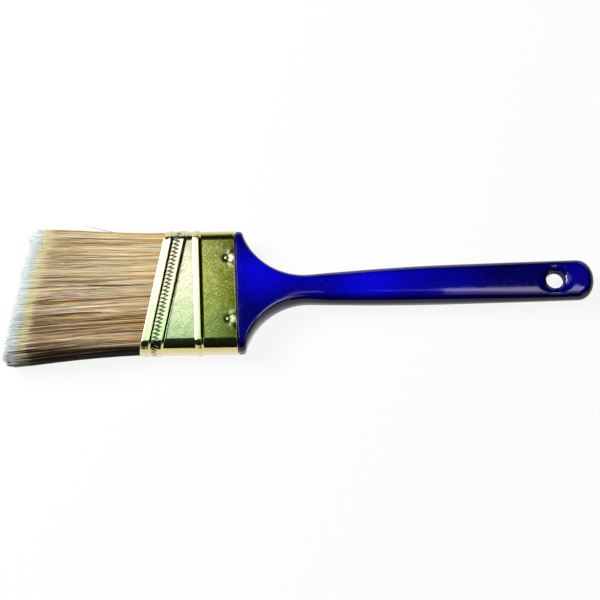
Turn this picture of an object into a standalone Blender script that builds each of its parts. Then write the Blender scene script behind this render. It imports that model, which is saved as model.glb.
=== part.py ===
"""Angled sash paint brush, lying on its back: handle, ferrule, nails, setting, plug and filaments.

The brush is modelled with its axis along X, tips towards -X and handle towards +X. X = 0 is the handle
end of the ferrule, and Z = 0 the plane between its two broad faces. The heel, the short side of the
slanted mouth, is at +Y, and the toe at -Y. Everything hangs on one empty, which then sets the brush down
with the middle of its underside on the world's origin. Lengths are in metres.
"""

import math
from typing import NamedTuple

import bmesh
import bpy
from mathutils import Vector

# Fits
CLEARANCE = 0.0003

# Ferrule: a sleeve of thin plated sheet with a slanted mouth
FERRULE_WIDTH = 0.0635
FERRULE_THICKNESS = 0.0165
FERRULE_LENGTH = 0.0427  # along the axis, at mid width
FERRULE_CORNER = 0.0066
FERRULE_WALL = 0.0005
MOUTH_ANGLE = math.radians(13.0)
BEAD_HEIGHT = 0.0008
BEAD_HALF_WIDTH = 0.0010
LIP_BEAD_FROM_MOUTH = 0.0043
BAND_WIDTH = 0.0064  # between the crests of the two slanted beads
SQUARE_BEAD_GAP = 0.0042  # from the slanted band to the square bead, at the heel
ZIGZAG_REACH = 0.0012  # from its middle line, midway between the slanted beads, to a point
ZIGZAG_PITCH = 0.0022
ZIGZAG_DEPTH = 0.00028
ZIGZAG_LINE = 0.0007

# Nails, two through each broad face
NAIL_FROM_END = 0.0041
NAIL_SPACING = 0.0328
NAIL_HEAD_DIAMETER = 0.0029
NAIL_HEAD_HEIGHT = 0.00045
NAIL_SHANK_DIAMETER = 0.0014
NAIL_LENGTH = 0.0058
NAIL_POINT = 0.0016
NAIL_BLUNT = 0.00012  # radius of the small flats at its point and on its crown

# Handle
HANDLE_LENGTH = 0.1854  # from the ferrule's end to the tail
TENON_LENGTH = 0.0120
TENON_CHAMFER = 0.0008
RIM_PROUD = 0.0001
RIM_LENGTH = 0.0030
RIM_FRONT_ROUND = 0.0010
RIM_BACK_ROUND = 0.0018
SHOULDER_SWEEP = math.radians(75.0)
NECK_FROM_FERRULE = 0.0360
NECK_WIDTH = 0.0147
NECK_THICKNESS = 0.0122
NECK_BLEND = 0.0040
SWELL_POWER = 3  # how early the grip swells to its full width
BELLY_FROM_FERRULE = 0.0900
BELLY_THICKNESS = 0.0130
TAIL_WIDTH = 0.0213
TAIL_ROUND = 0.0088  # length of the rounded end, an ellipse in plan
TAIL_THICKNESS = 0.0094
GRIP_EDGE_RADIUS = 0.0050
GRIP_CROWN = 0.0005
HOLE_DIAMETER = 0.0093
HOLE_FROM_TAIL = 0.0202
HOLE_ROUND = 0.0022

# Setting and plug, inside the ferrule
SETTING_LENGTH = 0.0040  # at the heel, where it is shortest
END_GROUP_WIDTH = 0.0056  # of the filaments beside the plug, at their roots
PLUG_BELOW_MOUTH = 0.0020
PLUG_GAP = 0.0054  # between the front and back rows of filaments, at their roots
RESIN_SLICE = 0.0030

# Filaments
LENGTH_OUT_TOE = 0.0702
LENGTH_OUT_HEEL = 0.0686
TIP_FLARE = 0.0039  # from the ferrule's side to the outermost tips
TIP_DRAW_IN = 0.0018  # from the ferrule's inner face to the outer tips
CHISEL_DEPTH = 0.0045  # how much shorter the outer filaments are than the middle ones
TIP_TAPER = 0.0130
GAP_LIMIT = 0.60  # most of the pack's thickness that the gap can take
GAP_CLOSED = 0.90  # share of the plug's gap that has closed at the tips
STRAND_FILL = 0.80
MIDDLE_COLUMNS = 42  # of each row, over the plug
ROW_LAYERS = 3
END_COLUMNS = 6  # of each row and end group, beside the plug

# Facets and limits
FILLET_LIMIT = 0.92  # share of a half thickness that an edge radius may take
CRIMP_LIMIT = 0.60  # share of the sheet that the crimp may sink into it
SMOOTH_ANGLE = math.radians(35)
TAIL_SWEEP = math.radians(85)  # the last ring stops just short of the tip
CORNER_STEPS = 6
GRIP_CORNER_STEPS = 5
GRIP_FLAT_STEPS = 4
GRIP_SIDE_STEPS = 2
ROUND_STEPS = 24
NAIL_STEPS = 14
DOME_STEPS = 4
RIM_STEPS = 3
SHOULDER_STEPS = 8
GRIP_STEPS = 14
GRIP_STEP_BIAS = 1.4  # draws the grip's rings towards the neck
TAIL_STEPS = 8
HOLE_ROUND_STEPS = 5
OUTER_BEAD_SHARES = (-1.0, -0.5, 0.0, 0.5, 1.0)
INNER_BEAD_SHARES = (-1.0, 0.0, 1.0)

MOUTH_SLOPE = math.tan(MOUTH_ANGLE)
INNER_HALF_WIDTH = FERRULE_WIDTH / 2 - FERRULE_WALL
INNER_HALF_THICKNESS = FERRULE_THICKNESS / 2 - FERRULE_WALL
INNER_CORNER = FERRULE_CORNER - FERRULE_WALL
BAND_BEAD_FROM_MOUTH = LIP_BEAD_FROM_MOUTH + BAND_WIDTH
ZIGZAG_FROM_MOUTH = LIP_BEAD_FROM_MOUTH + BAND_WIDTH / 2
RIM_HALF_WIDTH = FERRULE_WIDTH / 2 + RIM_PROUD
RIM_HALF_THICKNESS = FERRULE_THICKNESS / 2 + RIM_PROUD
TAIL_HALF_WIDTH = TAIL_WIDTH / 2
TAIL_START = HANDLE_LENGTH - TAIL_ROUND
RIM_END = CLEARANCE + RIM_LENGTH
HOLE_X = HANDLE_LENGTH - HOLE_FROM_TAIL


def mouth_x(y):
    """X of the ferrule's slanted mouth at this distance across the brush."""
    return -FERRULE_LENGTH + y * MOUTH_SLOPE


BAND_END_AT_HEEL = mouth_x(FERRULE_WIDTH / 2) + BAND_BEAD_FROM_MOUTH + BEAD_HALF_WIDTH
SQUARE_BEAD_FROM_END = -(BAND_END_AT_HEEL + SQUARE_BEAD_GAP + BEAD_HALF_WIDTH)


def root_x(y):
    """X of the plane that the filaments stand on, parallel to the mouth."""
    heel = -(TENON_LENGTH + SETTING_LENGTH + RESIN_SLICE + 2 * CLEARANCE)
    return heel + (y - INNER_HALF_WIDTH) * MOUTH_SLOPE


EMBEDDED = root_x(0) - mouth_x(0)

# The filaments fan out in straight lines from their roots, and clear the ferrule's wall where they leave it
MOUTH_SHARE = (EMBEDDED + FERRULE_WALL) / (EMBEDDED + LENGTH_OUT_HEEL - CHISEL_DEPTH)
MOUTH_HALF_WIDTH = INNER_HALF_WIDTH - CLEARANCE
TIP_HALF_WIDTH = FERRULE_WIDTH / 2 + TIP_FLARE
FANNED_HALF_WIDTH = (MOUTH_HALF_WIDTH - MOUTH_SHARE * TIP_HALF_WIDTH) / (1 - MOUTH_SHARE)
ROOT_HALF_WIDTH = min(MOUTH_HALF_WIDTH, FANNED_HALF_WIDTH)
PACK_HALF_THICKNESS = INNER_HALF_THICKNESS - CLEARANCE
PLUG_SIDE = 1 - END_GROUP_WIDTH / ROOT_HALF_WIDTH
PLUG_HALF_WIDTH = PLUG_SIDE * ROOT_HALF_WIDTH - CLEARANCE


def ease(t):
    """Smooth step from 0 to 1."""
    t = min(max(t, 0.0), 1.0)
    return t * t * (3 - 2 * t)


def mix(a, b, t):
    """The value at share t of the way from a to b."""
    return a + (b - a) * t


def clear_scene():
    """Removes whatever the file starts with."""
    for obj in list(bpy.data.objects):
        bpy.data.objects.remove(obj, do_unlink=True)


def make_material(name, colour, roughness, metallic=0.0):
    """A Principled BSDF of one colour."""
    material = bpy.data.materials.new(name)
    material.use_nodes = True
    shader = material.node_tree.nodes["Principled BSDF"]
    shader.inputs["Base Color"].default_value = (*colour, 1.0)
    shader.inputs["Roughness"].default_value = roughness
    shader.inputs["Metallic"].default_value = metallic
    return material


def add_object(name, bm, parent, material=None):
    """Turns a bmesh into a named object with smooth round faces and outward normals."""
    bmesh.ops.recalc_face_normals(bm, faces=bm.faces)
    mesh = bpy.data.meshes.new(name)
    bm.to_mesh(mesh)
    bm.free()
    mesh.shade_smooth()
    mesh.set_sharp_from_angle(angle=SMOOTH_ANGLE)
    obj = bpy.data.objects.new(name, mesh)
    bpy.context.scene.collection.objects.link(obj)
    obj.parent = parent
    if material:
        mesh.materials.append(material)
    else:
        obj.hide_render = True
        obj.display_type = "WIRE"
    return obj


def cut(obj, cutter):
    """Subtracts a hidden cutter from an object."""
    modifier = obj.modifiers.new(f"cut_{cutter.name}", "BOOLEAN")
    modifier.operation = "DIFFERENCE"
    modifier.solver = "EXACT"
    modifier.object = cutter


def rounded_section(half_y, half_z, radius, corner_steps, flat_steps=1, side_steps=1):
    """(y, z) points round a rectangle with arcs for corners, from the +Y side towards +Z."""
    points = []
    centre_y = half_y - radius
    centre_z = half_z - radius
    for quarter, (sign_y, sign_z) in enumerate(((1, 1), (-1, 1), (-1, -1), (1, -1))):
        for step in range(corner_steps + 1):
            angle = math.pi / 2 * (quarter + step / corner_steps)
            points.append(
                (
                    sign_y * centre_y + radius * math.cos(angle),
                    sign_z * centre_z + radius * math.sin(angle),
                )
            )
        steps = flat_steps if quarter % 2 == 0 else side_steps
        along_y = -2 * sign_y * centre_y if quarter % 2 == 0 else 0.0
        along_z = 0.0 if quarter % 2 == 0 else -2 * sign_z * centre_z
        last_y, last_z = points[-1]
        for step in range(1, steps):
            points.append((last_y + along_y * step / steps, last_z + along_z * step / steps))
    return points


def loft(bm, rings, closed=False):
    """Skins rings of equally many points. Closed joins the last ring to the first, else ends are capped."""
    loops = [[bm.verts.new(point) for point in ring] for ring in rings]
    pairs = list(zip(loops, loops[1:]))
    if closed:
        pairs.append((loops[-1], loops[0]))
    else:
        bm.faces.new(reversed(loops[0]))
        bm.faces.new(loops[-1])
    for first, second in pairs:
        for i in range(len(first)):
            j = (i + 1) % len(first)
            bm.faces.new((first[i], first[j], second[j], second[i]))


def turned(bm, centre, profile, steps):
    """A solid of revolution about a line along Z: profile is (radius, z) from one end to the other."""
    rings = []
    for radius, z in profile:
        angles = [math.tau * step / steps for step in range(steps)]
        rings.append(
            [centre + Vector((radius * math.cos(a), radius * math.sin(a), z)) for a in angles]
        )
    loft(bm, rings)


def bead_profile(middle, shares):
    """(place, rise) stations over one rolled bead, a raised cosine, at shares of its half width."""
    return [
        (middle + BEAD_HALF_WIDTH * t, BEAD_HEIGHT * (1 + math.cos(math.pi * t)) / 2)
        for t in shares
    ]


def ferrule_ring(rise, x_at):
    """One ring of the sleeve, its outer section grown by rise, with X given by a function of Y."""
    section = rounded_section(
        FERRULE_WIDTH / 2 + rise, FERRULE_THICKNESS / 2 + rise, FERRULE_CORNER + rise, CORNER_STEPS
    )
    return [Vector((x_at(y), y, z)) for y, z in section]


def slanted_ring(place, rise):
    """A ring parallel to the mouth, this far behind it."""
    return ferrule_ring(rise, lambda y: mouth_x(y) + place)


def square_ring(place, rise):
    """A ring square to the axis, this far from the handle end."""
    return ferrule_ring(rise, lambda y: -place)


def sleeve_rings(shares, inset):
    """Rings from the mouth to the handle end, over all three beads, set in from the outer skin by inset."""
    slanted = [(0.0, 0.0)]
    slanted += bead_profile(LIP_BEAD_FROM_MOUTH, shares)
    slanted += bead_profile(BAND_BEAD_FROM_MOUTH, shares)
    square = bead_profile(SQUARE_BEAD_FROM_END, shares)[::-1] + [(0.0, 0.0)]
    rings = [slanted_ring(place, rise - inset) for place, rise in slanted]
    return rings + [square_ring(place, rise - inset) for place, rise in square]


def make_ferrule(parent, material, zigzag, nail_holes):
    """The sleeve: outer skin with beads, inner skin with their grooves, then the crimp and nail holes."""
    outer = sleeve_rings(OUTER_BEAD_SHARES, 0.0)
    inner = sleeve_rings(INNER_BEAD_SHARES, FERRULE_WALL)
    bm = bmesh.new()
    loft(bm, outer + inner[::-1], closed=True)
    ferrule = add_object("ferrule", bm, parent, material)
    cut(ferrule, zigzag)
    cut(ferrule, nail_holes)
    return ferrule


def perimeter_walk(pitch):
    """(point, outward normal) pairs round the ferrule's outer section, two to a pitch, evenly spaced."""
    flat_y = FERRULE_WIDTH - 2 * FERRULE_CORNER
    flat_z = FERRULE_THICKNESS - 2 * FERRULE_CORNER
    arc = FERRULE_CORNER * math.pi / 2
    flats = (flat_z, flat_y, flat_z, flat_y)
    starts = ((1, -1), (1, 1), (-1, 1), (-1, -1))
    total = sum(flats) + 4 * arc
    count = 2 * round(total / pitch)
    walk = []
    for index in range(count):
        rest = total * index / count
        quarter = 0
        while rest >= flats[quarter] + arc:
            rest -= flats[quarter] + arc
            quarter += 1
        slide = min(rest, flats[quarter])
        heading = math.pi / 2 * (quarter + 1)
        turn = math.pi / 2 * quarter + (rest - slide) / FERRULE_CORNER
        normal = Vector((0, math.cos(turn), math.sin(turn)))
        side_y, side_z = starts[quarter]
        corner = Vector((0, side_y * flat_y / 2, side_z * flat_z / 2))
        along = Vector((0, math.cos(heading), math.sin(heading))) * slide
        walk.append((corner + along + normal * FERRULE_CORNER, normal))
    return walk


def make_zigzag_cutter(parent):
    """A V-shaped band that zigzags once round the ferrule, to press the crimped line into it."""
    depth = min(ZIGZAG_DEPTH, CRIMP_LIMIT * FERRULE_WALL)
    corners = ((0.0, -depth), (-ZIGZAG_LINE, depth), (ZIGZAG_LINE, depth))
    rings = []
    for index, (point, normal) in enumerate(perimeter_walk(ZIGZAG_PITCH)):
        reach = ZIGZAG_REACH if index % 2 else -ZIGZAG_REACH
        middle = Vector((mouth_x(point.y) + ZIGZAG_FROM_MOUTH + reach, point.y, point.z))
        rings.append([middle + Vector((along, 0, 0)) + normal * out for along, out in corners])
    bm = bmesh.new()
    loft(bm, rings, closed=True)
    return add_object("zigzag_cutter", bm, parent)


def nail_places():
    """(name, y, side) of each nail: side is +1 on the front face and -1 on the back."""
    half = NAIL_SPACING / 2
    return [
        (f"nail_{face}_{end}", sign * half, side)
        for face, side in (("front", 1), ("back", -1))
        for end, sign in (("heel", 1), ("toe", -1))
    ]


def nail_tip():
    """Z of a front nail's point, kept clear of the back nail's."""
    return max(FERRULE_THICKNESS / 2 - NAIL_LENGTH, 2 * CLEARANCE)


def make_nail_hole_cutter(parent):
    """Four blind holes, through the ferrule's walls and into the tenon."""
    radius = NAIL_SHANK_DIAMETER / 2 + CLEARANCE
    outside = FERRULE_THICKNESS / 2 + BEAD_HEIGHT
    bottom = nail_tip() - CLEARANCE
    bm = bmesh.new()
    for _, y, side in nail_places():
        profile = [(radius, side * bottom), (radius, side * outside)]
        turned(bm, Vector((-NAIL_FROM_END, y, 0)), profile, NAIL_STEPS)
    return add_object("nail_hole_cutter", bm, parent)


def make_nail(name, y, side, parent, material):
    """A domed tack: head on the ferrule, shank through its wall, point in the tenon."""
    seat = FERRULE_THICKNESS / 2 + CLEARANCE
    head = NAIL_HEAD_DIAMETER / 2
    shank = NAIL_SHANK_DIAMETER / 2
    tip = nail_tip()
    profile = [(NAIL_BLUNT, tip), (shank, tip + NAIL_POINT), (shank, seat), (head, seat)]
    for step in range(1, DOME_STEPS):
        angle = math.pi / 2 * step / DOME_STEPS
        profile.append((head * math.cos(angle), seat + NAIL_HEAD_HEIGHT * math.sin(angle)))
    profile.append((NAIL_BLUNT, seat + NAIL_HEAD_HEIGHT))
    bm = bmesh.new()
    turned(bm, Vector((-NAIL_FROM_END, y, 0)), [(r, side * z) for r, z in profile], NAIL_STEPS)
    return add_object(name, bm, parent, material)


def grip_half_thickness(x):
    """Side outline of the handle: level at the rim, thin at neck and tail, full at the belly."""
    if x <= NECK_FROM_FERRULE:
        share = ease((x - RIM_END) / (NECK_FROM_FERRULE - RIM_END))
        return mix(RIM_HALF_THICKNESS, NECK_THICKNESS / 2, share)
    if x <= BELLY_FROM_FERRULE:
        share = ease((x - NECK_FROM_FERRULE) / (BELLY_FROM_FERRULE - NECK_FROM_FERRULE))
        return mix(NECK_THICKNESS / 2, BELLY_THICKNESS / 2, share)
    share = ease((x - BELLY_FROM_FERRULE) / (TAIL_START - BELLY_FROM_FERRULE))
    return mix(BELLY_THICKNESS / 2, TAIL_THICKNESS / 2, share)


def grip_half_width(x):
    """Plan outline behind the neck: an ease-out to the tail, softened where it leaves the neck."""
    length = TAIL_START - NECK_FROM_FERRULE
    behind = max(x - NECK_FROM_FERRULE, 0.0)
    swell = 1 - (1 - min(behind / length, 1.0)) ** SWELL_POWER
    softened = swell * (1 - math.exp(-behind / NECK_BLEND))
    return mix(NECK_WIDTH / 2, TAIL_HALF_WIDTH, softened)


def handle_ring(x, half_y, half_z, radius, crown=0.0):
    """One ring of the handle. Crown lifts the middle of its broad faces by that much."""
    flat_z = half_z - crown
    radius = min(radius, FILLET_LIMIT * half_y, FILLET_LIMIT * flat_z)
    section = rounded_section(
        half_y, flat_z, radius, GRIP_CORNER_STEPS, GRIP_FLAT_STEPS, GRIP_SIDE_STEPS
    )
    lift = crown / flat_z
    return [Vector((x, y, z * (1 + lift * (1 - (y / half_y) ** 2)))) for y, z in section]


def grip_ring(x, half_y, half_z):
    """A ring behind the rim, with its edges rounding and its faces crowning on the way to the neck."""
    share = ease((x - RIM_END) / (NECK_FROM_FERRULE - RIM_END))
    radius = mix(FERRULE_CORNER + RIM_PROUD, GRIP_EDGE_RADIUS, share)
    return handle_ring(x, half_y, half_z, radius, GRIP_CROWN * share)


def tenon_rings():
    """The block that plugs into the ferrule, chamfered at its end."""
    half_y = INNER_HALF_WIDTH - CLEARANCE
    half_z = INNER_HALF_THICKNESS - CLEARANCE
    corner = INNER_CORNER - CLEARANCE
    end = TENON_CHAMFER
    return [
        handle_ring(-TENON_LENGTH, half_y - end, half_z - end, corner - end),
        handle_ring(end - TENON_LENGTH, half_y, half_z, corner),
        handle_ring(CLEARANCE, half_y, half_z, corner),
    ]


def rim_rings():
    """The rim that meets the ferrule, rounded in front and rolling over into the shoulder behind."""
    rings = []
    for step in range(RIM_STEPS + 1):
        angle = math.pi / 2 * step / RIM_STEPS
        inset = RIM_FRONT_ROUND * (1 - math.sin(angle))
        x = CLEARANCE + RIM_FRONT_ROUND * (1 - math.cos(angle))
        corner = FERRULE_CORNER + RIM_PROUD - inset
        rings.append(handle_ring(x, RIM_HALF_WIDTH - inset, RIM_HALF_THICKNESS - inset, corner))
    for step in range(RIM_STEPS + 1):
        angle = SHOULDER_SWEEP * step / RIM_STEPS
        x = RIM_END + RIM_BACK_ROUND * math.sin(angle)
        half_y = RIM_HALF_WIDTH - RIM_BACK_ROUND * (1 - math.cos(angle))
        rings.append(grip_ring(x, half_y, grip_half_thickness(x)))
    return rings


def shoulder_rings():
    """The concave fan from the rim to the neck, an elliptic arc that ends along the axis."""
    start_x = RIM_END + RIM_BACK_ROUND * math.sin(SHOULDER_SWEEP)
    start_y = RIM_HALF_WIDTH - RIM_BACK_ROUND * (1 - math.cos(SHOULDER_SWEEP))
    arc_x = (NECK_FROM_FERRULE - start_x) / math.sin(SHOULDER_SWEEP)
    arc_y = (start_y - NECK_WIDTH / 2) / (1 - math.cos(SHOULDER_SWEEP))
    rings = []
    for step in range(1, SHOULDER_STEPS + 1):
        angle = SHOULDER_SWEEP * (1 - step / SHOULDER_STEPS)
        x = NECK_FROM_FERRULE - arc_x * math.sin(angle)
        half_y = NECK_WIDTH / 2 + arc_y * (1 - math.cos(angle))
        rings.append(grip_ring(x, half_y, grip_half_thickness(x)))
    return rings


def grip_rings():
    """The grip, from behind the neck to where the tail starts to round, closest together at the neck."""
    length = TAIL_START - NECK_FROM_FERRULE
    rings = []
    for step in range(1, GRIP_STEPS + 1):
        x = NECK_FROM_FERRULE + length * (step / GRIP_STEPS) ** GRIP_STEP_BIAS
        rings.append(grip_ring(x, grip_half_width(x), grip_half_thickness(x)))
    return rings


def tail_rings():
    """The tail: half an ellipse in plan, with its edge rolled over all the way round."""
    half_z = TAIL_THICKNESS / 2
    roll = min(GRIP_EDGE_RADIUS, FILLET_LIMIT * half_z)
    rings = []
    for step in range(1, TAIL_STEPS + 1):
        angle = TAIL_SWEEP * step / TAIL_STEPS
        x = TAIL_START + TAIL_ROUND * math.sin(angle)
        inside_roll = max(roll - (HANDLE_LENGTH - x), 0.0)
        dip = roll - math.sqrt(roll**2 - inside_roll**2)
        half_y = TAIL_HALF_WIDTH * math.cos(angle)
        rings.append(handle_ring(x, half_y, half_z - dip, roll, GRIP_CROWN * math.cos(angle)))
    return rings


def make_hole_cutter(parent):
    """The hanging hole, flared at both faces so that its rims come out round."""
    radius = HOLE_DIAMETER / 2
    face = grip_half_thickness(HOLE_X)
    straight = face - HOLE_ROUND
    upper = []
    for step in range(HOLE_ROUND_STEPS + 1):
        angle = math.pi / 2 * step / HOLE_ROUND_STEPS
        flare = HOLE_ROUND * (1 - math.cos(angle))
        upper.append((radius + flare, straight + HOLE_ROUND * math.sin(angle)))
    upper.append((radius + HOLE_ROUND, face + HOLE_ROUND))
    profile = [(r, -z) for r, z in reversed(upper)] + upper
    bm = bmesh.new()
    turned(bm, Vector((HOLE_X, 0, 0)), profile, ROUND_STEPS)
    return add_object("hole_cutter", bm, parent)


def make_handle(parent, material, nail_holes):
    """Tenon, rim, shoulder, grip and tail in one moulding, drilled for the nails and the hanging hole."""
    bm = bmesh.new()
    loft(bm, tenon_rings() + rim_rings() + shoulder_rings() + grip_rings() + tail_rings())
    handle = add_object("handle", bm, parent, material)
    cut(handle, nail_holes)
    cut(handle, make_hole_cutter(parent))
    return handle


def make_setting(parent, material):
    """The block of resin that fills the ferrule between the tenon and the filaments' roots."""
    half_y = INNER_HALF_WIDTH - CLEARANCE
    half_z = INNER_HALF_THICKNESS - CLEARANCE
    section = rounded_section(half_y, half_z, INNER_CORNER - CLEARANCE, CORNER_STEPS)
    behind_roots = RESIN_SLICE + CLEARANCE
    front = [Vector((root_x(y) + behind_roots, y, z)) for y, z in section]
    back = [Vector((-TENON_LENGTH - CLEARANCE, y, z)) for y, z in section]
    bm = bmesh.new()
    loft(bm, [front, back])
    return add_object("resin_setting", bm, parent, material)


def make_plug(parent, material):
    """The wedge that holds the front and back rows apart, from the setting to just inside the mouth."""
    reach = EMBEDDED - PLUG_BELOW_MOUTH
    front_gap = gap_half(0.0, reach / strand_length(0.0, 0.0))
    rings = []
    for forward, gap in ((reach, front_gap), (-RESIN_SLICE, PLUG_GAP / 2)):
        half_z = gap - CLEARANCE
        section = rounded_section(PLUG_HALF_WIDTH, half_z, half_z / 2, CORNER_STEPS // 2)
        rings.append([Vector((root_x(y) - forward, y, z)) for y, z in section])
    bm = bmesh.new()
    loft(bm, rings)
    return add_object("spacer_plug", bm, parent, material)


class Group(NamedTuple):
    """One bundle of filaments: u of its column lines, and its side of the plug (0 is beside it)."""

    name: str
    lines: list
    side: int


def pack_y(u, s):
    """Y in the pack: u runs from -1 at the toe to 1 at the heel, s from 0 at the roots to 1 at the tips."""
    return u * mix(ROOT_HALF_WIDTH, TIP_HALF_WIDTH, s)


def pack_half(u, s):
    """Half the pack's thickness: rounded at its ends like the ferrule inside, thinner towards the tips."""
    beyond = max(abs(u) * MOUTH_HALF_WIDTH - (MOUTH_HALF_WIDTH - INNER_CORNER), 0.0)
    drop = INNER_CORNER - math.sqrt(max(INNER_CORNER**2 - beyond**2, 0.0))
    return (PACK_HALF_THICKNESS - s * TIP_DRAW_IN) * (1 - drop / PACK_HALF_THICKNESS)


def gap_half(u, s):
    """Half the hollow between the rows: it closes towards the tips, except at the ends of the pack."""
    closing = GAP_CLOSED * (1 - ease(abs(u) / PLUG_SIDE))
    return min(PLUG_GAP / 2 * (1 - closing * s), GAP_LIMIT * pack_half(u, s))


def strand_length(u, depth):
    """Length of a filament, which falls with depth from 0 in mid pack to 1 on its outside: the chisel."""
    out = mix(LENGTH_OUT_TOE, LENGTH_OUT_HEEL, (u + 1) / 2)
    return EMBEDDED + out - CHISEL_DEPTH * depth**2


def pack_point(side, u, w, s):
    """A point of the pack. Every filament keeps its (u, w) from root to tip, so that none can cross."""
    if side:
        z = side * mix(gap_half(u, s), pack_half(u, s), w)
        depth = w
    else:
        z = (2 * w - 1) * (gap_half(u, s) - CLEARANCE)
        depth = 0.0
    return Vector((root_x(pack_y(u, 0.0)) - s * strand_length(u, depth), pack_y(u, s), z))


def make_strands(group, parent, material):
    """Filaments on a slice of resin: a grid of cells, each with a three-sided strand tapered to a point."""

    columns = len(group.lines) - 1

    def place(column, row, s):
        first = min(int(column), columns - 1)
        u = mix(group.lines[first], group.lines[first + 1], column - first)
        return pack_point(group.side, u, row / ROW_LAYERS, s)

    bm = bmesh.new()
    grid = [
        [bm.verts.new(place(column, row, 0.0)) for column in range(columns + 1)]
        for row in range(ROW_LAYERS + 1)
    ]
    low = (1 - STRAND_FILL) / 2
    high = 1 - low
    taper = 1 - TIP_TAPER / (EMBEDDED + LENGTH_OUT_HEEL)
    for row in range(ROW_LAYERS):
        for column in range(columns):
            corners = ((column + low, row + low), (column + high, row + low), (column + 0.5, row + high))
            root = [bm.verts.new(place(*corner, 0.0)) for corner in corners]
            neck = [bm.verts.new(place(*corner, taper)) for corner in corners]
            tip = bm.verts.new(place(column + 0.5, row + 0.5, 1.0))
            a, b = grid[row][column : column + 2]
            d, c = grid[row + 1][column : column + 2]
            bm.faces.new((a, b, root[1], root[0]))
            bm.faces.new((b, c, root[2], root[1]))
            bm.faces.new((c, d, root[2]))
            bm.faces.new((d, a, root[0], root[2]))
            for i in range(3):
                j = (i + 1) % 3
                bm.faces.new((root[i], root[j], neck[j], neck[i]))
                bm.faces.new((neck[i], neck[j], tip))
    rim = [*grid[0], *[row[-1] for row in grid[1:]], *reversed(grid[-1][:-1])]
    rim += [row[0] for row in reversed(grid[1:-1])]
    behind = [bm.verts.new(vert.co + Vector((RESIN_SLICE, 0, 0))) for vert in rim]
    for i in range(len(rim)):
        j = (i + 1) % len(rim)
        bm.faces.new((rim[i], rim[j], behind[j], behind[i]))
    bm.faces.new(behind)
    return add_object(group.name, bm, parent, material)


def make_filaments(parent, material):
    """Front and back rows over the whole width, and the groups that close the pack beside the plug.

    Rows and end groups have the same column lines there, so that their facets keep the gap between them.
    """
    heel = [mix(PLUG_SIDE, 1.0, step / END_COLUMNS) for step in range(END_COLUMNS + 1)]
    toe = [-u for u in reversed(heel)]
    middle = [mix(-PLUG_SIDE, PLUG_SIDE, step / MIDDLE_COLUMNS) for step in range(1, MIDDLE_COLUMNS)]
    for group in (
        Group("bristles_front", toe + middle + heel, 1),
        Group("bristles_back", toe + middle + heel, -1),
        Group("bristles_heel", heel, 0),
        Group("bristles_toe", toe, 0),
    ):
        make_strands(group, parent, material)


def set_down(root):
    """Moves the brush so that the middle of its underside is at the world's origin."""
    bpy.context.view_layer.update()
    shown = [obj for obj in root.children if not obj.hide_render]
    corners = [obj.matrix_world @ Vector(corner) for obj in shown for corner in obj.bound_box]
    low = Vector([min(corner[axis] for corner in corners) for axis in range(3)])
    high = Vector([max(corner[axis] for corner in corners) for axis in range(3)])
    root.location = (-(low.x + high.x) / 2, -(low.y + high.y) / 2, -low.z)


def main():
    clear_scene()
    plastic = make_material("blue_gloss_plastic", (0.008, 0.004, 0.26), 0.16)
    brass = make_material("brass_plated_steel", (0.62, 0.55, 0.24), 0.22, 1.0)
    filament = make_material("tan_filament", (0.52, 0.33, 0.15), 0.55)
    resin = make_material("amber_resin", (0.45, 0.25, 0.08), 0.35)
    wood = make_material("pale_wood", (0.62, 0.45, 0.27), 0.7)

    root = bpy.data.objects.new("paint_brush", None)
    bpy.context.scene.collection.objects.link(root)
    nail_holes = make_nail_hole_cutter(root)
    make_ferrule(root, brass, make_zigzag_cutter(root), nail_holes)
    make_handle(root, plastic, nail_holes)
    for name, y, side in nail_places():
        make_nail(name, y, side, root, brass)
    make_setting(root, resin)
    make_plug(root, wood)
    make_filaments(root, filament)
    set_down(root)


main()
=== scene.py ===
"""Angled sash paint brush on a white table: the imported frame, dressed for its picture.

The brush's own axes run through this file. X goes from the filaments' tips (-X) to the handle's tail (+X),
with X = 0 at the ferrule's handle end; Y goes from the toe (-Y) to the heel (+Y), the short side of the
slanted mouth; Z comes out of the front face, with Z = 0 at mid thickness. Lengths are in metres.
"""

import logging
import math
from dataclasses import dataclass
from enum import Enum
from functools import partial
from typing import Any, Callable, Mapping, Optional, Sequence

import bmesh
import bpy
import numpy as np
from mathutils import Matrix, Vector


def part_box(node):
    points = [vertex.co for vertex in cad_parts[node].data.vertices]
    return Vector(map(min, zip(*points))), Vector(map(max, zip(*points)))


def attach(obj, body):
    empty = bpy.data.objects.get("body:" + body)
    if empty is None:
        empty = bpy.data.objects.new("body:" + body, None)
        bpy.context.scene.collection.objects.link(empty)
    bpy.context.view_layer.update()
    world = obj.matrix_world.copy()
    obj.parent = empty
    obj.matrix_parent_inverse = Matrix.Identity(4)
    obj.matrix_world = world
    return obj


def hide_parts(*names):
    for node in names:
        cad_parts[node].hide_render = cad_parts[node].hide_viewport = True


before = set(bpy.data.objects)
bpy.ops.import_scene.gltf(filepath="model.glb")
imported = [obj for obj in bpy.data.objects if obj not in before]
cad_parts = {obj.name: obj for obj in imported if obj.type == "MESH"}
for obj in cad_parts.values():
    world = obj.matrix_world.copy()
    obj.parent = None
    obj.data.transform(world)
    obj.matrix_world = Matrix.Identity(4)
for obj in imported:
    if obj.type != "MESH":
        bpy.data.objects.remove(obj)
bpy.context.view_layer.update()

BODY = "root"
MM = 0.001
LOG = logging.getLogger("paint_brush")
Array = np.ndarray
Pair = tuple[float, float]
Stops = tuple[tuple[float, str], ...]

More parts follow.
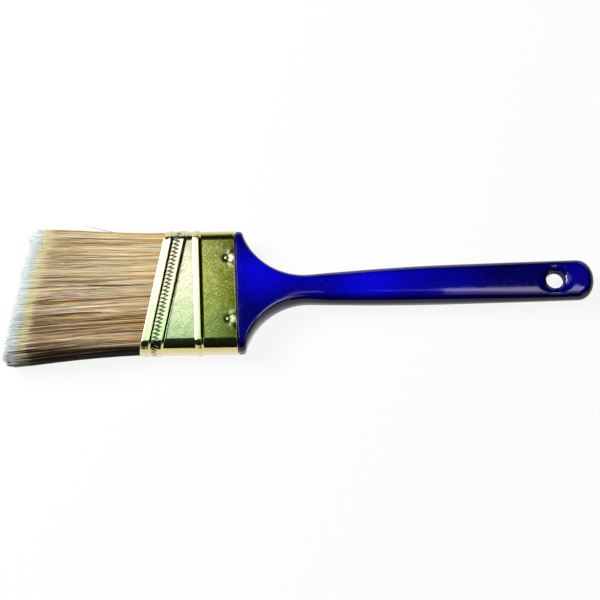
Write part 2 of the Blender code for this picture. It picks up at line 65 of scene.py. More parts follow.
# Settings and sockets of Blender's mix, range and wave nodes
COLOUR = {"data_type": "RGBA"}
FACTOR, FIRST, SECOND, MIXED = 0, 6, 7, 2
FIRST_VALUE, SECOND_VALUE = 2, 3
SMOOTH = {"interpolation_type": "SMOOTHSTEP"}
RANGE = ("From Min", "From Max", "To Min", "To Max")
WAVE_RATE = 20  # radians that a wave turns per metre, for each unit of its scale


class Slot(Enum):
    """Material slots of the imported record."""

    HANDLE = "handle_plastic"
    FERRULE = "ferrule_metal"
    NAIL = "nail_metal"
    FILAMENT = "filament"


class Face(Enum):
    """The two broad faces of the brush, by the sign of Z."""

    FRONT = 1
    BACK = -1


class End(Enum):
    """The two narrow sides of the brush, by the sign of Y."""

    HEEL = 1
    TOE = -1


# Shared helpers


def linear(code: str) -> tuple[float, float, float, float]:
    """Linear colour of an sRGB hex value: c / 12.92 for small c, else ((c + 0.055) / 1.055) ^ 2.4.

    Args:
        code: the colour as "#rrggbb".

    Returns:
        Red, green, blue and an alpha of 1.
    """
    parts = [int(code[i : i + 2], 16) / 255 for i in (1, 3, 5)]
    red, green, blue = (c / 12.92 if c <= 0.04045 else ((c + 0.055) / 1.055) ** 2.4 for c in parts)
    return red, green, blue, 1.0


def ease(t: Array) -> Array:
    """Smooth step: 3t^2 - 2t^3, with t held between 0 and 1."""
    t = np.clip(t, 0.0, 1.0)
    return t * t * (3 - 2 * t)


def mix(a: Any, b: Any, t: Any) -> Any:
    """The value at share t of the way from a to b."""
    return a + (b - a) * t


def settle(
    node: bpy.types.Node, values: Mapping[Any, Any], links: Mapping[Any, bpy.types.NodeSocket]
) -> bpy.types.Node:
    """Gives a node its settings and links.

    Args:
        node: the node to set.
        values: settings by name, or values by the name or number of an input; "stops" holds a ramp's colours.
        links: output sockets of other nodes, by the name or number of the input they go to.

    Returns:
        The same node.
    """
    for key, value in values.items():
        if key == "stops":
            stops = node.color_ramp.elements
            while len(stops) < len(value):
                stops.new(1.0)
            for stop, (place, code) in zip(stops, value):
                stop.position, stop.color = place, linear(code)
        elif isinstance(key, str) and hasattr(node, key):
            setattr(node, key, value)
        else:
            node.inputs[key].default_value = value
    for key, socket in links.items():
        node.id_data.links.new(socket, node.inputs[key])
    return node


def add_node(
    tree: bpy.types.NodeTree,
    kind: str,
    values: Mapping[Any, Any] = {},
    links: Mapping[Any, bpy.types.NodeSocket] = {},
) -> bpy.types.Node:
    """Adds one shader node with its settings and links.

    Args:
        tree: the node tree that takes it.
        kind: Blender's name for the node's type, without its first word.
        values: settings and values, as settle takes them.
        links: output sockets of other nodes, as settle takes them.

    Returns:
        The new node.
    """
    return settle(tree.nodes.new("ShaderNode" + kind), values, links)


def new_material(name: str) -> tuple[bpy.types.Material, Callable[..., bpy.types.Node], bpy.types.Node]:
    """A fresh node material.

    Args:
        name: the material's name.

    Returns:
        The material, what adds a node to it, and its Principled shader.
    """
    material = bpy.data.materials.new(name)
    material.use_nodes = True
    tree = material.node_tree
    return material, partial(add_node, tree), tree.nodes["Principled BSDF"]


@dataclass
class Skin:
    """A mesh under way: its points, and its faces as arrays of point numbers."""

    points: Array
    faces: list[Array]

    @classmethod
    def grid(cls, points: Array, wrap_rows: bool = False, wrap_columns: bool = False) -> "Skin":
        """Quads over a grid of points.

        Args:
            points: the grid, as (rows, columns, 3).
            wrap_rows: joins the last row to the first.
            wrap_columns: joins the last column to the first.

        Returns:
            The skin, with its points in row order.
        """
        number = np.arange(points.shape[0] * points.shape[1]).reshape(points.shape[:2])
        if wrap_rows:
            number = np.concatenate([number, number[:1]])
        if wrap_columns:
            number = np.concatenate([number, number[:, :1]], axis=1)
        quads = np.stack([number[:-1, :-1], number[:-1, 1:], number[1:, 1:], number[1:, :-1]], axis=-1)
        return cls(points.reshape(-1, 3), [quads.reshape(-1, 4)])

    @classmethod
    def joined(cls, skins: Sequence["Skin"]) -> "Skin":
        """Several skins in one, each with its point numbers moved up behind the ones before.

        Args:
            skins: the skins, in order.

        Returns:
            The one skin.
        """
        starts = np.cumsum([0] + [len(skin.points) for skin in skins])
        faces = [face + start for skin, start in zip(skins, starts) for face in skin.faces]
        return cls(np.concatenate([skin.points for skin in skins]), faces)


@dataclass
class Bench:
    """Where the brush lies in the frame, and how a skin becomes a piece there."""

    offset: Array

    @classmethod
    def from_frame(cls) -> "Bench":
        """Reads the place of the ferrule's handle end and of the brush's mid thickness."""
        low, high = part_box("ferrule")
        return cls(np.array([high.x, (low.y + high.y) / 2, (low.z + high.z) / 2]))

    def make(
        self, name: str, skin: Skin, weld: float = 0.0, crease: Optional[float] = None
    ) -> bpy.types.Object:
        """Puts a skin into the frame as a smooth object at the origin.

        Args:
            name: the object's name.
            skin: points in the brush's axes, and faces.
            weld: points closer than this are merged and the normals turned outwards; 0 leaves them.
            crease: faces that meet at more than this angle, in radians, stay sharp; None keeps all smooth.

        Returns:
            The new object.
        """
        mesh = bpy.data.meshes.new(name)
        corners = np.concatenate([face.ravel() for face in skin.faces])
        sizes = np.concatenate([np.full(len(face), face.shape[1]) for face in skin.faces])
        mesh.vertices.add(len(skin.points))
        mesh.vertices.foreach_set("co", (skin.points + self.offset).astype(np.float32).ravel())
        mesh.loops.add(len(corners))
        mesh.loops.foreach_set("vertex_index", corners.astype(np.int32))
        mesh.polygons.add(len(sizes))
        mesh.polygons.foreach_set("loop_start", (np.cumsum(sizes) - sizes).astype(np.int32))
        mesh.update(calc_edges=True)
        if weld:
            bm = bmesh.new()
            bm.from_mesh(mesh)
            bmesh.ops.remove_doubles(bm, verts=bm.verts, dist=weld)
            bmesh.ops.recalc_face_normals(bm, faces=bm.faces)
            bm.to_mesh(mesh)
            bm.free()
        mesh.shade_smooth()
        if crease is not None:
            mesh.set_sharp_from_angle(angle=crease)
        piece = bpy.data.objects.new(name, mesh)
        bpy.context.scene.collection.objects.link(piece)
        return piece


def mark(piece: bpy.types.Object, name: str, values: Array) -> None:
    """Stores one number for each point of a piece, for its material to read."""
    data = piece.data.attributes.new(name, "FLOAT", "POINT").data
    data.foreach_set("value", values.astype(np.float32).ravel())


def hand_over(piece: bpy.types.Object, nodes: Sequence[str]) -> None:
    """Rides a finished piece on the brush, hides the nodes it stands for and logs them.

    Args:
        piece: the finished piece.
        nodes: the CAD nodes that it replaces.
    """
    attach(piece, BODY)
    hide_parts(*nodes)
    LOG.info("%s: %d faces, for %s", piece.name, len(piece.data.polygons), ", ".join(nodes))


# Finishes, with places in the frame's axes, as materials read them


@dataclass(frozen=True)
class BrassPlatedSteel:
    """Rolled steel sheet, brass plated and lacquered: a mirror with grain and scratches, its pale and
    green-gold colours painted reflection.
    """

    name: str = "brass_plated_steel"
    # Painted reflection: pale shades towards the mouth, olive ones behind the square bead
    mouth_shades: Stops = ((0.3, "#c4c88e"), (0.5, "#e5e4bd"), (0.7, "#f6f2d9"))
    end_shades: Stops = ((0.3, "#6c7712"), (0.5, "#a6af38"), (0.7, "#dbe183"))
    # Painted paler reflection on the narrow sides
    side: str = "#dcca86"
    # Painted greener reflection towards the toe
    toe_reflection_tint: str = "#b4e0b2"
    # Painted shade in the crimp's grooves
    grime: str = "#12140a"
    end_from: Pair = (-54.0 * MM, -49.0 * MM)
    toe_from: Pair = (6.0 * MM, -30.0 * MM)
    painted_side_power: float = 4.0  # how fast the face's shades give way to the sides' painted paler reflection as the sheet turns
    cloud_mm: float = 6.0
    cloud_share: float = 0.3
    grain_mm: float = 0.9  # plating grain is finer; drawn at two pixels so that it shows
    grain_detail: float = 3.0
    grain_harshness: float = 0.65
    grain_depth: float = 0.008 * MM
    scratch_mm: Pair = (9.0, 0.45)
    scratch_turn: float = 0.7
    scratch_from: Pair = (0.35, 0.7)
    roughness: Pair = (0.1, 0.16)
    lacquer_roughness: float = 0.06

    def make(self) -> bpy.types.Material:
        """Grain and clouds in its colour, with painted reflection that changes at the square bead; scratches
        in its gloss.

        Returns:
            The material.
        """
        material, add, shader = new_material(self.name)
        spot = add("TexCoord")
        place = spot.outputs["Object"]
        axes = add("SeparateXYZ", {}, {"Vector": place})
        cloud = add("TexNoise", {"Scale": 1 / (self.cloud_mm * MM)}, {"Vector": place})
        plating = {"Detail": self.grain_detail, "Roughness": self.grain_harshness}
        grain = add("TexNoise", {"Scale": 1 / (self.grain_mm * MM), **plating}, {"Vector": place})
        long, short = self.scratch_mm
        size = {"Scale": (long * MM, short * MM, long * MM)}
        turn = {"vector_type": "TEXTURE", "Rotation": (0.0, 0.0, self.scratch_turn)}
        turned = add("Mapping", {**turn, **size}, {"Vector": place})
        scratch = add("TexNoise", {"Scale": 1.0}, {"Vector": turned.outputs["Vector"]})
        both = {FIRST_VALUE: grain.outputs["Fac"], SECOND_VALUE: cloud.outputs["Fac"]}
        speckle = add("Mix", {FACTOR: self.cloud_share}, both)
        mouth, end = (
            add("ValToRGB", {"stops": stops}, {"Fac": speckle.outputs[0]}).outputs["Color"]
            for stops in (self.mouth_shades, self.end_shades)
        )
        # Painted reflection: the colour goes from the mouth's pale shades to the end's olive ones
        behind = add("MapRange", {**SMOOTH, **dict(zip(RANGE, self.end_from))}, {"Value": axes.outputs["X"]})
        # Painted highlight beside each nail: it takes the colour back towards the mouth's pale shades
        burnish = add("Attribute", {"attribute_name": "burnish"})
        less = {"operation": "SUBTRACT", "use_clamp": True}
        painted_end_share = add("Math", less, {0: behind.outputs[0], 1: burnish.outputs["Fac"]})
        face = add("Mix", COLOUR, {FACTOR: painted_end_share.outputs[0], FIRST: mouth, SECOND: end})
        # Painted greener reflection towards the toe
        towards_toe = add("MapRange", dict(zip(RANGE, self.toe_from)), {"Value": axes.outputs["Y"]})
        tint = {**COLOUR, "blend_type": "MULTIPLY", SECOND: linear(self.toe_reflection_tint)}
        tinted = add("Mix", tint, {FACTOR: towards_toe.outputs[0], FIRST: face.outputs[MIXED]})
        # Painted paler reflection on the narrow sides, taken as the normal turns away from Z
        tilt = add("SeparateXYZ", {}, {"Vector": spot.outputs["Normal"]})
        flat = add("Math", {"operation": "POWER", 1: self.painted_side_power}, {0: tilt.outputs["Z"]})
        sides = {**COLOUR, FIRST: linear(self.side)}
        bare = add("Mix", sides, {FACTOR: flat.outputs[0], SECOND: tinted.outputs[MIXED]})
        # Painted shade in the crimp's grooves
        crimp_shade_share = add("Attribute", {"attribute_name": "grime"})
        crimp_shaded = {**COLOUR, SECOND: linear(self.grime)}
        colour = add("Mix", crimp_shaded, {FACTOR: crimp_shade_share.outputs["Fac"], FIRST: bare.outputs[MIXED]})
        gloss = dict(zip(RANGE, self.scratch_from + self.roughness))
        rough = add("MapRange", gloss, {"Value": scratch.outputs["Fac"]})
        bump = add("Bump", {"Distance": self.grain_depth}, {"Height": grain.outputs["Fac"]})
        lacquer = {"Coat Weight": 1.0, "Coat Roughness": self.lacquer_roughness}
        links = {"Base Color": colour.outputs[MIXED], "Roughness": rough.outputs[0]}
        settle(shader, {"Metallic": 1.0, **lacquer}, {**links, "Normal": bump.outputs["Normal"]})
        return material


@dataclass(frozen=True)
class MouldedPlastic:
    """Injection-moulded blue plastic: wet gloss over a deep colour, with painted pools of light and shade and
    painted shade on its sides.
    """

    name: str = "moulded_blue_plastic"
    deep: str = "#00023c"
    full: str = "#0c05f6"
    mark: str = "#5a55e8"
    gloss_tint: str = "#fbe6ff"
    # Middle, radius and strength of each paler or deeper stretch, placed one by one
    # Painted pools of light where the strength is positive, painted shade where it is negative
    painted_pools: tuple[tuple[tuple[float, float, float], float, float], ...] = (
        ((-0.020, 0.008, 0.016), 23.0 * MM, 0.74),
        ((0.002, 0.011, 0.015), 20.0 * MM, 0.36),
        ((0.034, 0.003, 0.015), 24.0 * MM, 0.42),
        ((0.046, 0.002, 0.015), 65.0 * MM, 0.33),
        ((0.088, 0.018, 0.014), 22.0 * MM, -0.13),
        ((0.113, 0.016, 0.013), 22.0 * MM, -0.13),
        ((0.144, 0.0, 0.013), 15.0 * MM, 0.24),
    )
    painted_side_power: float = 6.0  # how fast painted shade deepens the colour as the surface turns to the sides
    flow_mm: float = 26.0
    flow_from: Pair = (0.3, 0.7)
    flow_depth: Pair = (0.07, 0.2)
    noise_detail: float = 1.0
    speck_mm: float = 1.7
    scuff_mm: Pair = (7.0, 0.8)
    scuff_turn: float = 0.9
    worn_from: Pair = (0.74, 0.86)
    worn_to: Pair = (0.0, 0.7)
    dulled_from: Pair = (0.4, 0.85)
    roughness: Pair = (0.04, 0.13)
    ior: float = 1.49

    def make(self) -> bpy.types.Material:
        """Flow noise in its colour, painted pools of light and shade, painted shade deeper on its sides,
        specks and scuffs over them and in its gloss.

        Returns:
            The material.
        """
        material, add, shader = new_material(self.name)
        spot = add("TexCoord")
        place = spot.outputs["Object"]
        flow, speck = (
            add("TexNoise", {"Scale": 1 / (size * MM), "Detail": self.noise_detail}, {"Vector": place})
            for size in (self.flow_mm, self.speck_mm)
        )
        flowed = dict(zip(RANGE, self.flow_from + self.flow_depth))
        depth = add("MapRange", flowed, {"Value": flow.outputs["Fac"]})
        # Painted pools of light and shade
        for middle, radius, strength in self.painted_pools:
            away = add("VectorMath", {"operation": "DISTANCE", 1: middle}, {0: place})
            fade = {**SMOOTH, **dict(zip(RANGE, (0.0, radius, strength, 0.0)))}
            near = add("MapRange", fade, {"Value": away.outputs["Value"]})
            depth = add("Math", {"operation": "ADD"}, {0: depth.outputs[0], 1: near.outputs[0]})
        # Painted shade: the colour deepens as the surface turns to the sides
        tilt = add("SeparateXYZ", {}, {"Vector": spot.outputs["Normal"]})
        broad = add("Math", {"operation": "POWER", 1: self.painted_side_power}, {0: tilt.outputs["Z"]})
        depth = add("Math", {"operation": "MULTIPLY"}, {0: depth.outputs[0], 1: broad.outputs[0]})
        blues = {**COLOUR, FIRST: linear(self.deep), SECOND: linear(self.full)}
        body = add("Mix", blues, {FACTOR: depth.outputs[0]})
        long, short = self.scuff_mm
        size = {"Scale": (short * MM, long * MM, long * MM)}
        turn = {"vector_type": "TEXTURE", "Rotation": (0.0, 0.0, self.scuff_turn)}
        turned = add("Mapping", {**turn, **size}, {"Vector": place})
        scuff = add("TexNoise", {"Scale": 1.0}, {"Vector": turned.outputs["Vector"]})
        both = add("Math", {"operation": "MAXIMUM"}, {0: scuff.outputs["Fac"], 1: speck.outputs["Fac"]})
        worn, rough = (
            add("MapRange", dict(zip(RANGE, span)), {"Value": both.outputs[0]})
            for span in (self.worn_from + self.worn_to, self.dulled_from + self.roughness)
        )
        marked = {**COLOUR, SECOND: linear(self.mark)}
        colour = add("Mix", marked, {FACTOR: worn.outputs[0], FIRST: body.outputs[MIXED]})
        settle(
            shader,
            {"IOR": self.ior, "Specular Tint": linear(self.gloss_tint)},
            {"Base Color": colour.outputs[MIXED], "Roughness": rough.outputs[0]},
        )
        return material


@dataclass(frozen=True)
class ShadedBorePlastic:
    """The same plastic where a core pin shaped it: matt, a deep blue darkened by painted shade, with faint
    drag lines along the bore.
    """

    name: str = "shaded_bore_blue_plastic"
    # Painted shade: darker than the outside's deep blue
    deep: str = "#00011c"
    dragged: str = "#03043a"
    drag_mm: float = 0.8
    drag_stretch: float = 20.0
    roughness: Pair = (0.5, 0.8)
    specular: float = 0.12

    def make(self) -> bpy.types.Material:
        """Drag lines in its colour and gloss.

        Returns:
            The material.
        """
        material, add, shader = new_material(self.name)
        size = self.drag_mm * MM
        along = {"vector_type": "TEXTURE", "Scale": (size, size, self.drag_stretch * size)}
        turned = add("Mapping", along, {"Vector": add("TexCoord").outputs["Object"]})
        drag = add("TexNoise", {"Scale": 1.0}, {"Vector": turned.outputs["Vector"]}).outputs["Fac"]
        blues = {**COLOUR, FIRST: linear(self.deep), SECOND: linear(self.dragged)}
        colour = add("Mix", blues, {FACTOR: drag})
        rough = add("MapRange", dict(zip(RANGE, (0.0, 1.0) + self.roughness)), {"Value": drag})
        links = {"Base Color": colour.outputs[MIXED], "Roughness": rough.outputs[0]}
        settle(shader, {"Specular IOR Level": self.specular}, links)
        return material


@dataclass(frozen=True)
class TaperedFilament:
    """Drawn synthetic filament with flagged tips: golden to greyish tan, a cream band, frosted white ends."""

    name: str = "tapered_synthetic_filament"
    tip: str = "#f2fbf9"
    cream: str = "#fbf1c2"
    greyish: Stops = (
        (0.0, "#17110c"),
        (0.2, "#6f543f"),
        (0.42, "#c9a985"),
        (0.66, "#f2dab6"),
        (1.0, "#fff8e8"),
    )
    golden: Stops = (
        (0.0, "#181006"),
        (0.2, "#745019"),
        (0.42, "#cb9f58"),
        (0.66, "#f2d496"),
        (1.0, "#fff6d6"),
    )
    white_ends: Pair = (3.0 * MM, 5.0 * MM)
    cream_ends: Pair = (8.2 * MM, 10.6 * MM)
    pale_from: Pair = (0.1, 0.4)  # the ends lose their pale colours as the tone falls through this range
    roughness: float = 0.42
    specular: float = 0.35

    def make(self) -> bpy.types.Material:
        """Reads each point's tone, its warmth and its distance from the filament's tip.

        Returns:
            The material.
        """
        material, add, shader = new_material(self.name)
        tone, warmth, reach = (
            add("Attribute", {"attribute_name": name}).outputs["Fac"]
            for name in ("tone", "warmth", "from_tip")
        )
        greyish, golden = (
            add("ValToRGB", {"stops": stops}, {"Fac": tone}).outputs["Color"]
            for stops in (self.greyish, self.golden)
        )
        shaft = add("Mix", COLOUR, {FACTOR: warmth, FIRST: greyish, SECOND: golden}).outputs[MIXED]
        to_cream, to_shaft = (
            add("MapRange", {**SMOOTH, **dict(zip(RANGE, ends))}, {"Value": reach}).outputs[0]
            for ends in (self.white_ends, self.cream_ends)
        )
        pales = {**COLOUR, FIRST: linear(self.tip), SECOND: linear(self.cream)}
        ends = add("Mix", pales, {FACTOR: to_cream}).outputs[MIXED]
        pale = add("MapRange", dict(zip(RANGE, self.pale_from)), {"Value": tone}).outputs[0]
        shaded = add("Mix", COLOUR, {FACTOR: pale, FIRST: shaft, SECOND: ends}).outputs[MIXED]
        colour = add("Mix", COLOUR, {FACTOR: to_shaft, FIRST: shaded, SECOND: shaft}).outputs[MIXED]
        gloss = {"Roughness": self.roughness, "Specular IOR Level": self.specular}
        settle(shader, gloss, {"Base Color": colour})
        return material


@dataclass(frozen=True)
class CastResin:
    """Cast epoxy setting: amber and cloudy, glossier where it is clear."""

    name: str = "cast_epoxy_resin"
    clear: str = "#a8702a"
    cloudy: str = "#c9985a"
    cloud_mm: float = 3.0
    cloud_detail: float = 4.0
    roughness: Pair = (0.15, 0.45)
    ior: float = 1.55

    def make(self) -> bpy.types.Material:
        """Clouds in its colour and gloss.

        Returns:
            The material.
        """
        material, add, shader = new_material(self.name)
        place = add("TexCoord").outputs["Object"]
        size = {"Scale": 1 / (self.cloud_mm * MM), "Detail": self.cloud_detail}
        cloud = add("TexNoise", size, {"Vector": place}).outputs["Fac"]
        ambers = {**COLOUR, FIRST: linear(self.clear), SECOND: linear(self.cloudy)}
        colour = add("Mix", ambers, {FACTOR: cloud})
        rough = add("MapRange", dict(zip(RANGE, (0.0, 1.0) + self.roughness)), {"Value": cloud})
        links = {"Base Color": colour.outputs[MIXED], "Roughness": rough.outputs[0]}
        settle(shader, {"IOR": self.ior}, links)
        return material


@dataclass(frozen=True)
class SawnBasswood:
    """Sawn basswood: pale, with faint growth lines along the plug."""

    name: str = "sawn_basswood"
    early: str = "#d9bd8f"
    late: str = "#b8935f"
    line_mm: float = 1.6
    line_wander: float = 3.0
    line_detail: float = 3.0
    line_depth: float = 0.1 * MM
    line_strength: float = 0.4
    roughness: float = 0.7

    def make(self) -> bpy.types.Material:
        """Growth lines in its colour and bump, blurred by noise.

        Returns:
            The material.
        """
        material, add, shader = new_material(self.name)
        place = add("TexCoord").outputs["Object"]
        growth = {"bands_direction": "Y", "Scale": math.tau / (WAVE_RATE * self.line_mm * MM)}
        wander = {"Distortion": self.line_wander, "Detail": self.line_detail}
        lines = add("TexWave", {**growth, **wander}, {"Vector": place}).outputs["Fac"]
        colour = add("Mix", {**COLOUR, FIRST: linear(self.early), SECOND: linear(self.late)}, {FACTOR: lines})
        relief = {"Strength": self.line_strength, "Distance": self.line_depth}
        bump = add("Bump", relief, {"Height": lines})
        links = {"Base Color": colour.outputs[MIXED], "Normal": bump.outputs["Normal"]}
        settle(shader, {"Roughness": self.roughness}, links)
        return material


@dataclass(frozen=True)
class WhiteTable:
    """Matt white laminate: the lit share keeps the brush's shadow, the glow brings it up to paper white."""

    name: str = "matt_white_laminate"
    lit: str = "#5a5a5a"
    glow: float = 0.9

    def make(self) -> bpy.types.Material:
        """A matt coat, plus a glow that only the camera, mirrors and glass see.

        Returns:
            The material.
        """
        material, add, shader = new_material(self.name)
        tree = material.node_tree
        tree.nodes.remove(shader)
        matt = add("BsdfDiffuse", {"Color": linear(self.lit)})
        path = add("LightPath").outputs
        seen = add("Math", {"operation": "MAXIMUM"}, {0: path["Is Camera Ray"], 1: path["Is Glossy Ray"]})
        through = add("Math", {"operation": "MAXIMUM"}, {0: seen.outputs[0], 1: path["Is Transmission Ray"]})
        strength = add("Math", {"operation": "MULTIPLY", 1: self.glow}, {0: through.outputs[0]})
        light = add("Emission", {}, {"Strength": strength.outputs[0]})
        both = add("AddShader", {}, {0: matt.outputs[0], 1: light.outputs[0]})
        settle(tree.nodes["Material Output"], {}, {"Surface": both.outputs[0]})
        return material


# Ferrule and its nails


@dataclass(frozen=True)
class Tooth:
    """One stepped bead: a climb from start to crest, then a steep fall."""

    start: float
    crest: float
    fall: float
    height: float
    bow: float = 1.0

    def rise(self, place: Array) -> Array:
        """Height at a place: height * climb ^ bow up to the crest, then half a cosine down over the fall.

        Args:
            place: distance along the sleeve, counted as the tooth's own start and crest are.

        Returns:
            Height above the sheet.
        """
        climb = np.clip((place - self.start) / (self.crest - self.start), 0.0, 1.0) ** self.bow
        drop = np.clip((place - self.crest) / self.fall, 0.0, 1.0)
        return self.height * climb * (1 + np.cos(np.pi * drop)) / 2


@dataclass
class Ferrule:
    """Sleeve of thin plated sheet: slanted mouth, three stepped beads, a zigzag crimp, dents at the nails."""

    bench: Bench
    half_width: float = 32.5 * MM
    half_thickness: float = 8.25 * MM
    corner: float = 6.2 * MM
    length: float = 42.7 * MM
    wall: float = 0.5 * MM
    slope: float = math.tan(math.radians(13.0))
    skew: float = -0.02  # the sleeve sits about a degree askew on the handle
    skew_middle: float = -22.0 * MM
    lip: Tooth = Tooth(0.0, 3.75 * MM, 1.5 * MM, 0.7 * MM)
    band: Tooth = Tooth(5.4 * MM, 10.35 * MM, 1.6 * MM, 0.75 * MM)
    square: Tooth = Tooth(-21.6 * MM, -18.7 * MM, 1.65 * MM, 0.78 * MM, 0.8)
    end_flare: Tooth = Tooth(-0.5 * MM, 0.0, 1.0 * MM, 0.06 * MM)
    zigzag_place: float = 7.2 * MM
    zigzag_pitch: float = 2.08 * MM
    zigzag_reach: float = 1.15 * MM
    zigzag_heavy: Pair = (0.52 * MM, 0.12 * MM)
    zigzag_light: Pair = (0.34 * MM, 0.08 * MM)
    groove_place: float = 2.7 * MM
    groove_depth: float = 0.03 * MM
    groove_half: float = 0.45 * MM
    nail_from_end: float = 4.1 * MM
    nail_spacing: float = 32.8 * MM
    dent_depth: float = 0.2 * MM
    dent_radius: float = 1.5 * MM
    lift_height: float = 0.3 * MM  # the sheet springs up between the nails and its end
    lift_radius: float = 3.0 * MM
    # Painted highlight on the sheet beside each nail, shifted towards the handle
    burnish_radius: float = 3.4 * MM
    burnish_shift: float = 1.6 * MM
    crease: float = math.radians(60)
    columns_per_zigzag: int = 8
    # Stretches of rows as first, last and how many: mm behind the mouth, then mm of X; closest at the beads
    slanted_rows: tuple[tuple[float, float, int], ...] = (
        (0.0, 0.03, 2),
        (0.1, 0.25, 2),
        (0.7, 2.1, 4),
        (2.25, 3.15, 7),
        (3.4, 3.6, 2),
        (3.75, 5.25, 13),
        (5.4, 8.9, 33),
        (9.2, 10.2, 4),
        (10.35, 11.95, 13),
    )
    square_rows: tuple[tuple[float, float, int], ...] = (
        (-22.4, -22.0, 2),
        (-21.6, -18.8, 13),
        (-18.7, -17.05, 14),
        (-16.6, -8.0, 6),
        (-7.2, -1.0, 15),
        (-0.75, -0.25, 3),
        (-0.1, -0.03, 2),
        (0.0, 0.0, 1),
    )
    change_rows: int = 12
    inner_slanted: tuple[int, ...] = (-1, 20, 0)  # the inside is plain and repeats only these rows
    inner_square: tuple[int, ...] = (-1, 12, 0)

    def mouth_x(self, y: Array) -> Array:
        """X of the slanted mouth: a straight line across the brush."""
        return -self.length + y * self.slope

    def askew(self, x: Any) -> Any:
        """How far the sleeve stands to the heel side: a straight line along the axis."""
        return self.skew * (x - self.skew_middle)

    def perimeter(self) -> tuple[Array, Array, Array]:
        """Evenly spaced places round the section, a rectangle with arcs for corners.

        The corner's centre slides along each straight side and stands still on each arc, while the normal's
        angle stands still on each side and turns a quarter on each arc.

        Returns:
            Distance along the section, (y, z) points and (y, z) normals.
        """
        run_y = self.half_width - self.corner
        run_z = self.half_thickness - self.corner
        arc = self.corner * np.pi / 2
        steps = np.array([0, run_z, arc, 2 * run_y, arc, 2 * run_z, arc, 2 * run_y, arc, run_z])
        knots = np.cumsum(steps)
        centre_y = run_y * np.array([1, 1, 1, -1, -1, -1, -1, 1, 1, 1])
        centre_z = run_z * np.array([0, 1, 1, 1, 1, -1, -1, -1, -1, 0])
        turn = np.pi / 2 * np.array([0, 0, 1, 1, 2, 2, 3, 3, 4, 4])
        count = round(knots[-1] / self.zigzag_pitch) * self.columns_per_zigzag
        along = knots[-1] * np.arange(count) / count
        angle = np.interp(along, knots, turn)
        normals = np.stack([np.cos(angle), np.sin(angle)], axis=-1)
        centres = np.stack([np.interp(along, knots, centre_y), np.interp(along, knots, centre_z)], axis=-1)
        return along, centres + self.corner * normals, normals

    def crimp(self, along: Array, across: Array, total: float) -> tuple[Array, Array]:
        """The zigzag: a round groove about a triangle wave, heavier on every second stroke.

        Args:
            along: distance round the section.
            across: distance behind the zigzag's middle line.
            total: the whole way round, which holds a whole number of zigzags.

        Returns:
            Depth below the sheet, and the share of painted shade that the stroke holds, full over its middle.
        """
        pitch = total / round(total / self.zigzag_pitch)
        phase = along / pitch % 1.0
        wave = self.zigzag_reach * (4 * np.abs(phase - 0.5) - 1)
        distance = np.abs(across - wave) / np.hypot(1.0, 4 * self.zigzag_reach / pitch)
        half, depth = (
            np.where(phase < 0.5, light, heavy) for light, heavy in zip(self.zigzag_light, self.zigzag_heavy)
        )
        return self.round_groove(distance / half, depth), ease(2 - 2 * distance / half)

    @staticmethod
    def round_groove(share: Array, depth: Any) -> Array:
        """Depth of a groove at a share of its half width: half a cosine from its middle to its edge."""
        return depth * (1 + np.cos(np.pi * np.clip(np.abs(share), 0.0, 1.0))) / 2

    def round_nails(self, x: Array, y: Array, radius: float) -> Array:
        """A bell curve of the distance from the nearer nail, 1 at the nail itself."""
        distance = np.hypot(x + self.nail_from_end, np.abs(y) - self.nail_spacing / 2)
        return np.exp(-((distance / radius) ** 2))

    def hem(self, distance: Array) -> Array:
        """How far the sheet's cut edge rounds down: a quarter circle of half its thickness.

        Args:
            distance: how far in from the cut edge.

        Returns:
            Depth below the sheet.
        """
        radius = self.wall / 2
        over = 1 - np.clip(distance / radius, 0.0, 1.0)
        return radius * (1 - np.sqrt(1 - over**2))

    def rows(self) -> Array:
        """Rows of the sleeve's grid: outside from mouth to handle end, then inside back again.

        Returns:
            Distance behind the mouth, X, share of the way from the first to the second, and 1 on the outside.
        """
        slanted, square = (
            MM * np.concatenate([np.linspace(*stretch) for stretch in stretches])
            for stretches in (self.slanted_rows, self.square_rows)
        )
        between = np.linspace(0.0, 1.0, self.change_rows + 2)[1:-1]
        last, first = slanted[-1], square[0]
        stretches = [
            (slanted, first, 0.0, 1.0),
            (last, first, between, 1.0),
            (last, square, 1.0, 1.0),
            (last, square[list(self.inner_square)], 1.0, 0.0),
            (slanted[list(self.inner_slanted)], first, 0.0, 0.0),
        ]
        return np.concatenate([np.stack(np.broadcast_arrays(*values)) for values in stretches], axis=1)

    def skin(self) -> tuple[Skin, dict[str, Array]]:
        """The sleeve as one closed grid.

        Rows follow the slanted mouth in front and the square end behind, and change over between them. Each
        point is the section's point moved out along its normal by the beads' rise, less crimp and dents.

        Returns:
            The sleeve, closed both ways, and at each point the share of painted shade in the crimp's grooves
            and of the painted highlight beside the nails.
        """
        along, points, normals = self.perimeter()
        total = along[1] * len(along)
        distance, x_square, share, outer = self.rows()[:, :, None]
        y0, z0 = points.T[:, None, :]
        out_y, out_z = normals.T[:, None, :]
        x = mix(self.mouth_x(y0) + distance, x_square, share)
        behind = x - self.mouth_x(y0)
        beads = np.maximum(self.lip.rise(behind) + self.band.rise(behind), self.square.rise(x))
        beads = beads + self.end_flare.rise(x)
        # The crimp's depth, and its painted shade
        crimp, grime = self.crimp(along[None, :], behind - self.zigzag_place, total)
        broad = out_z**2
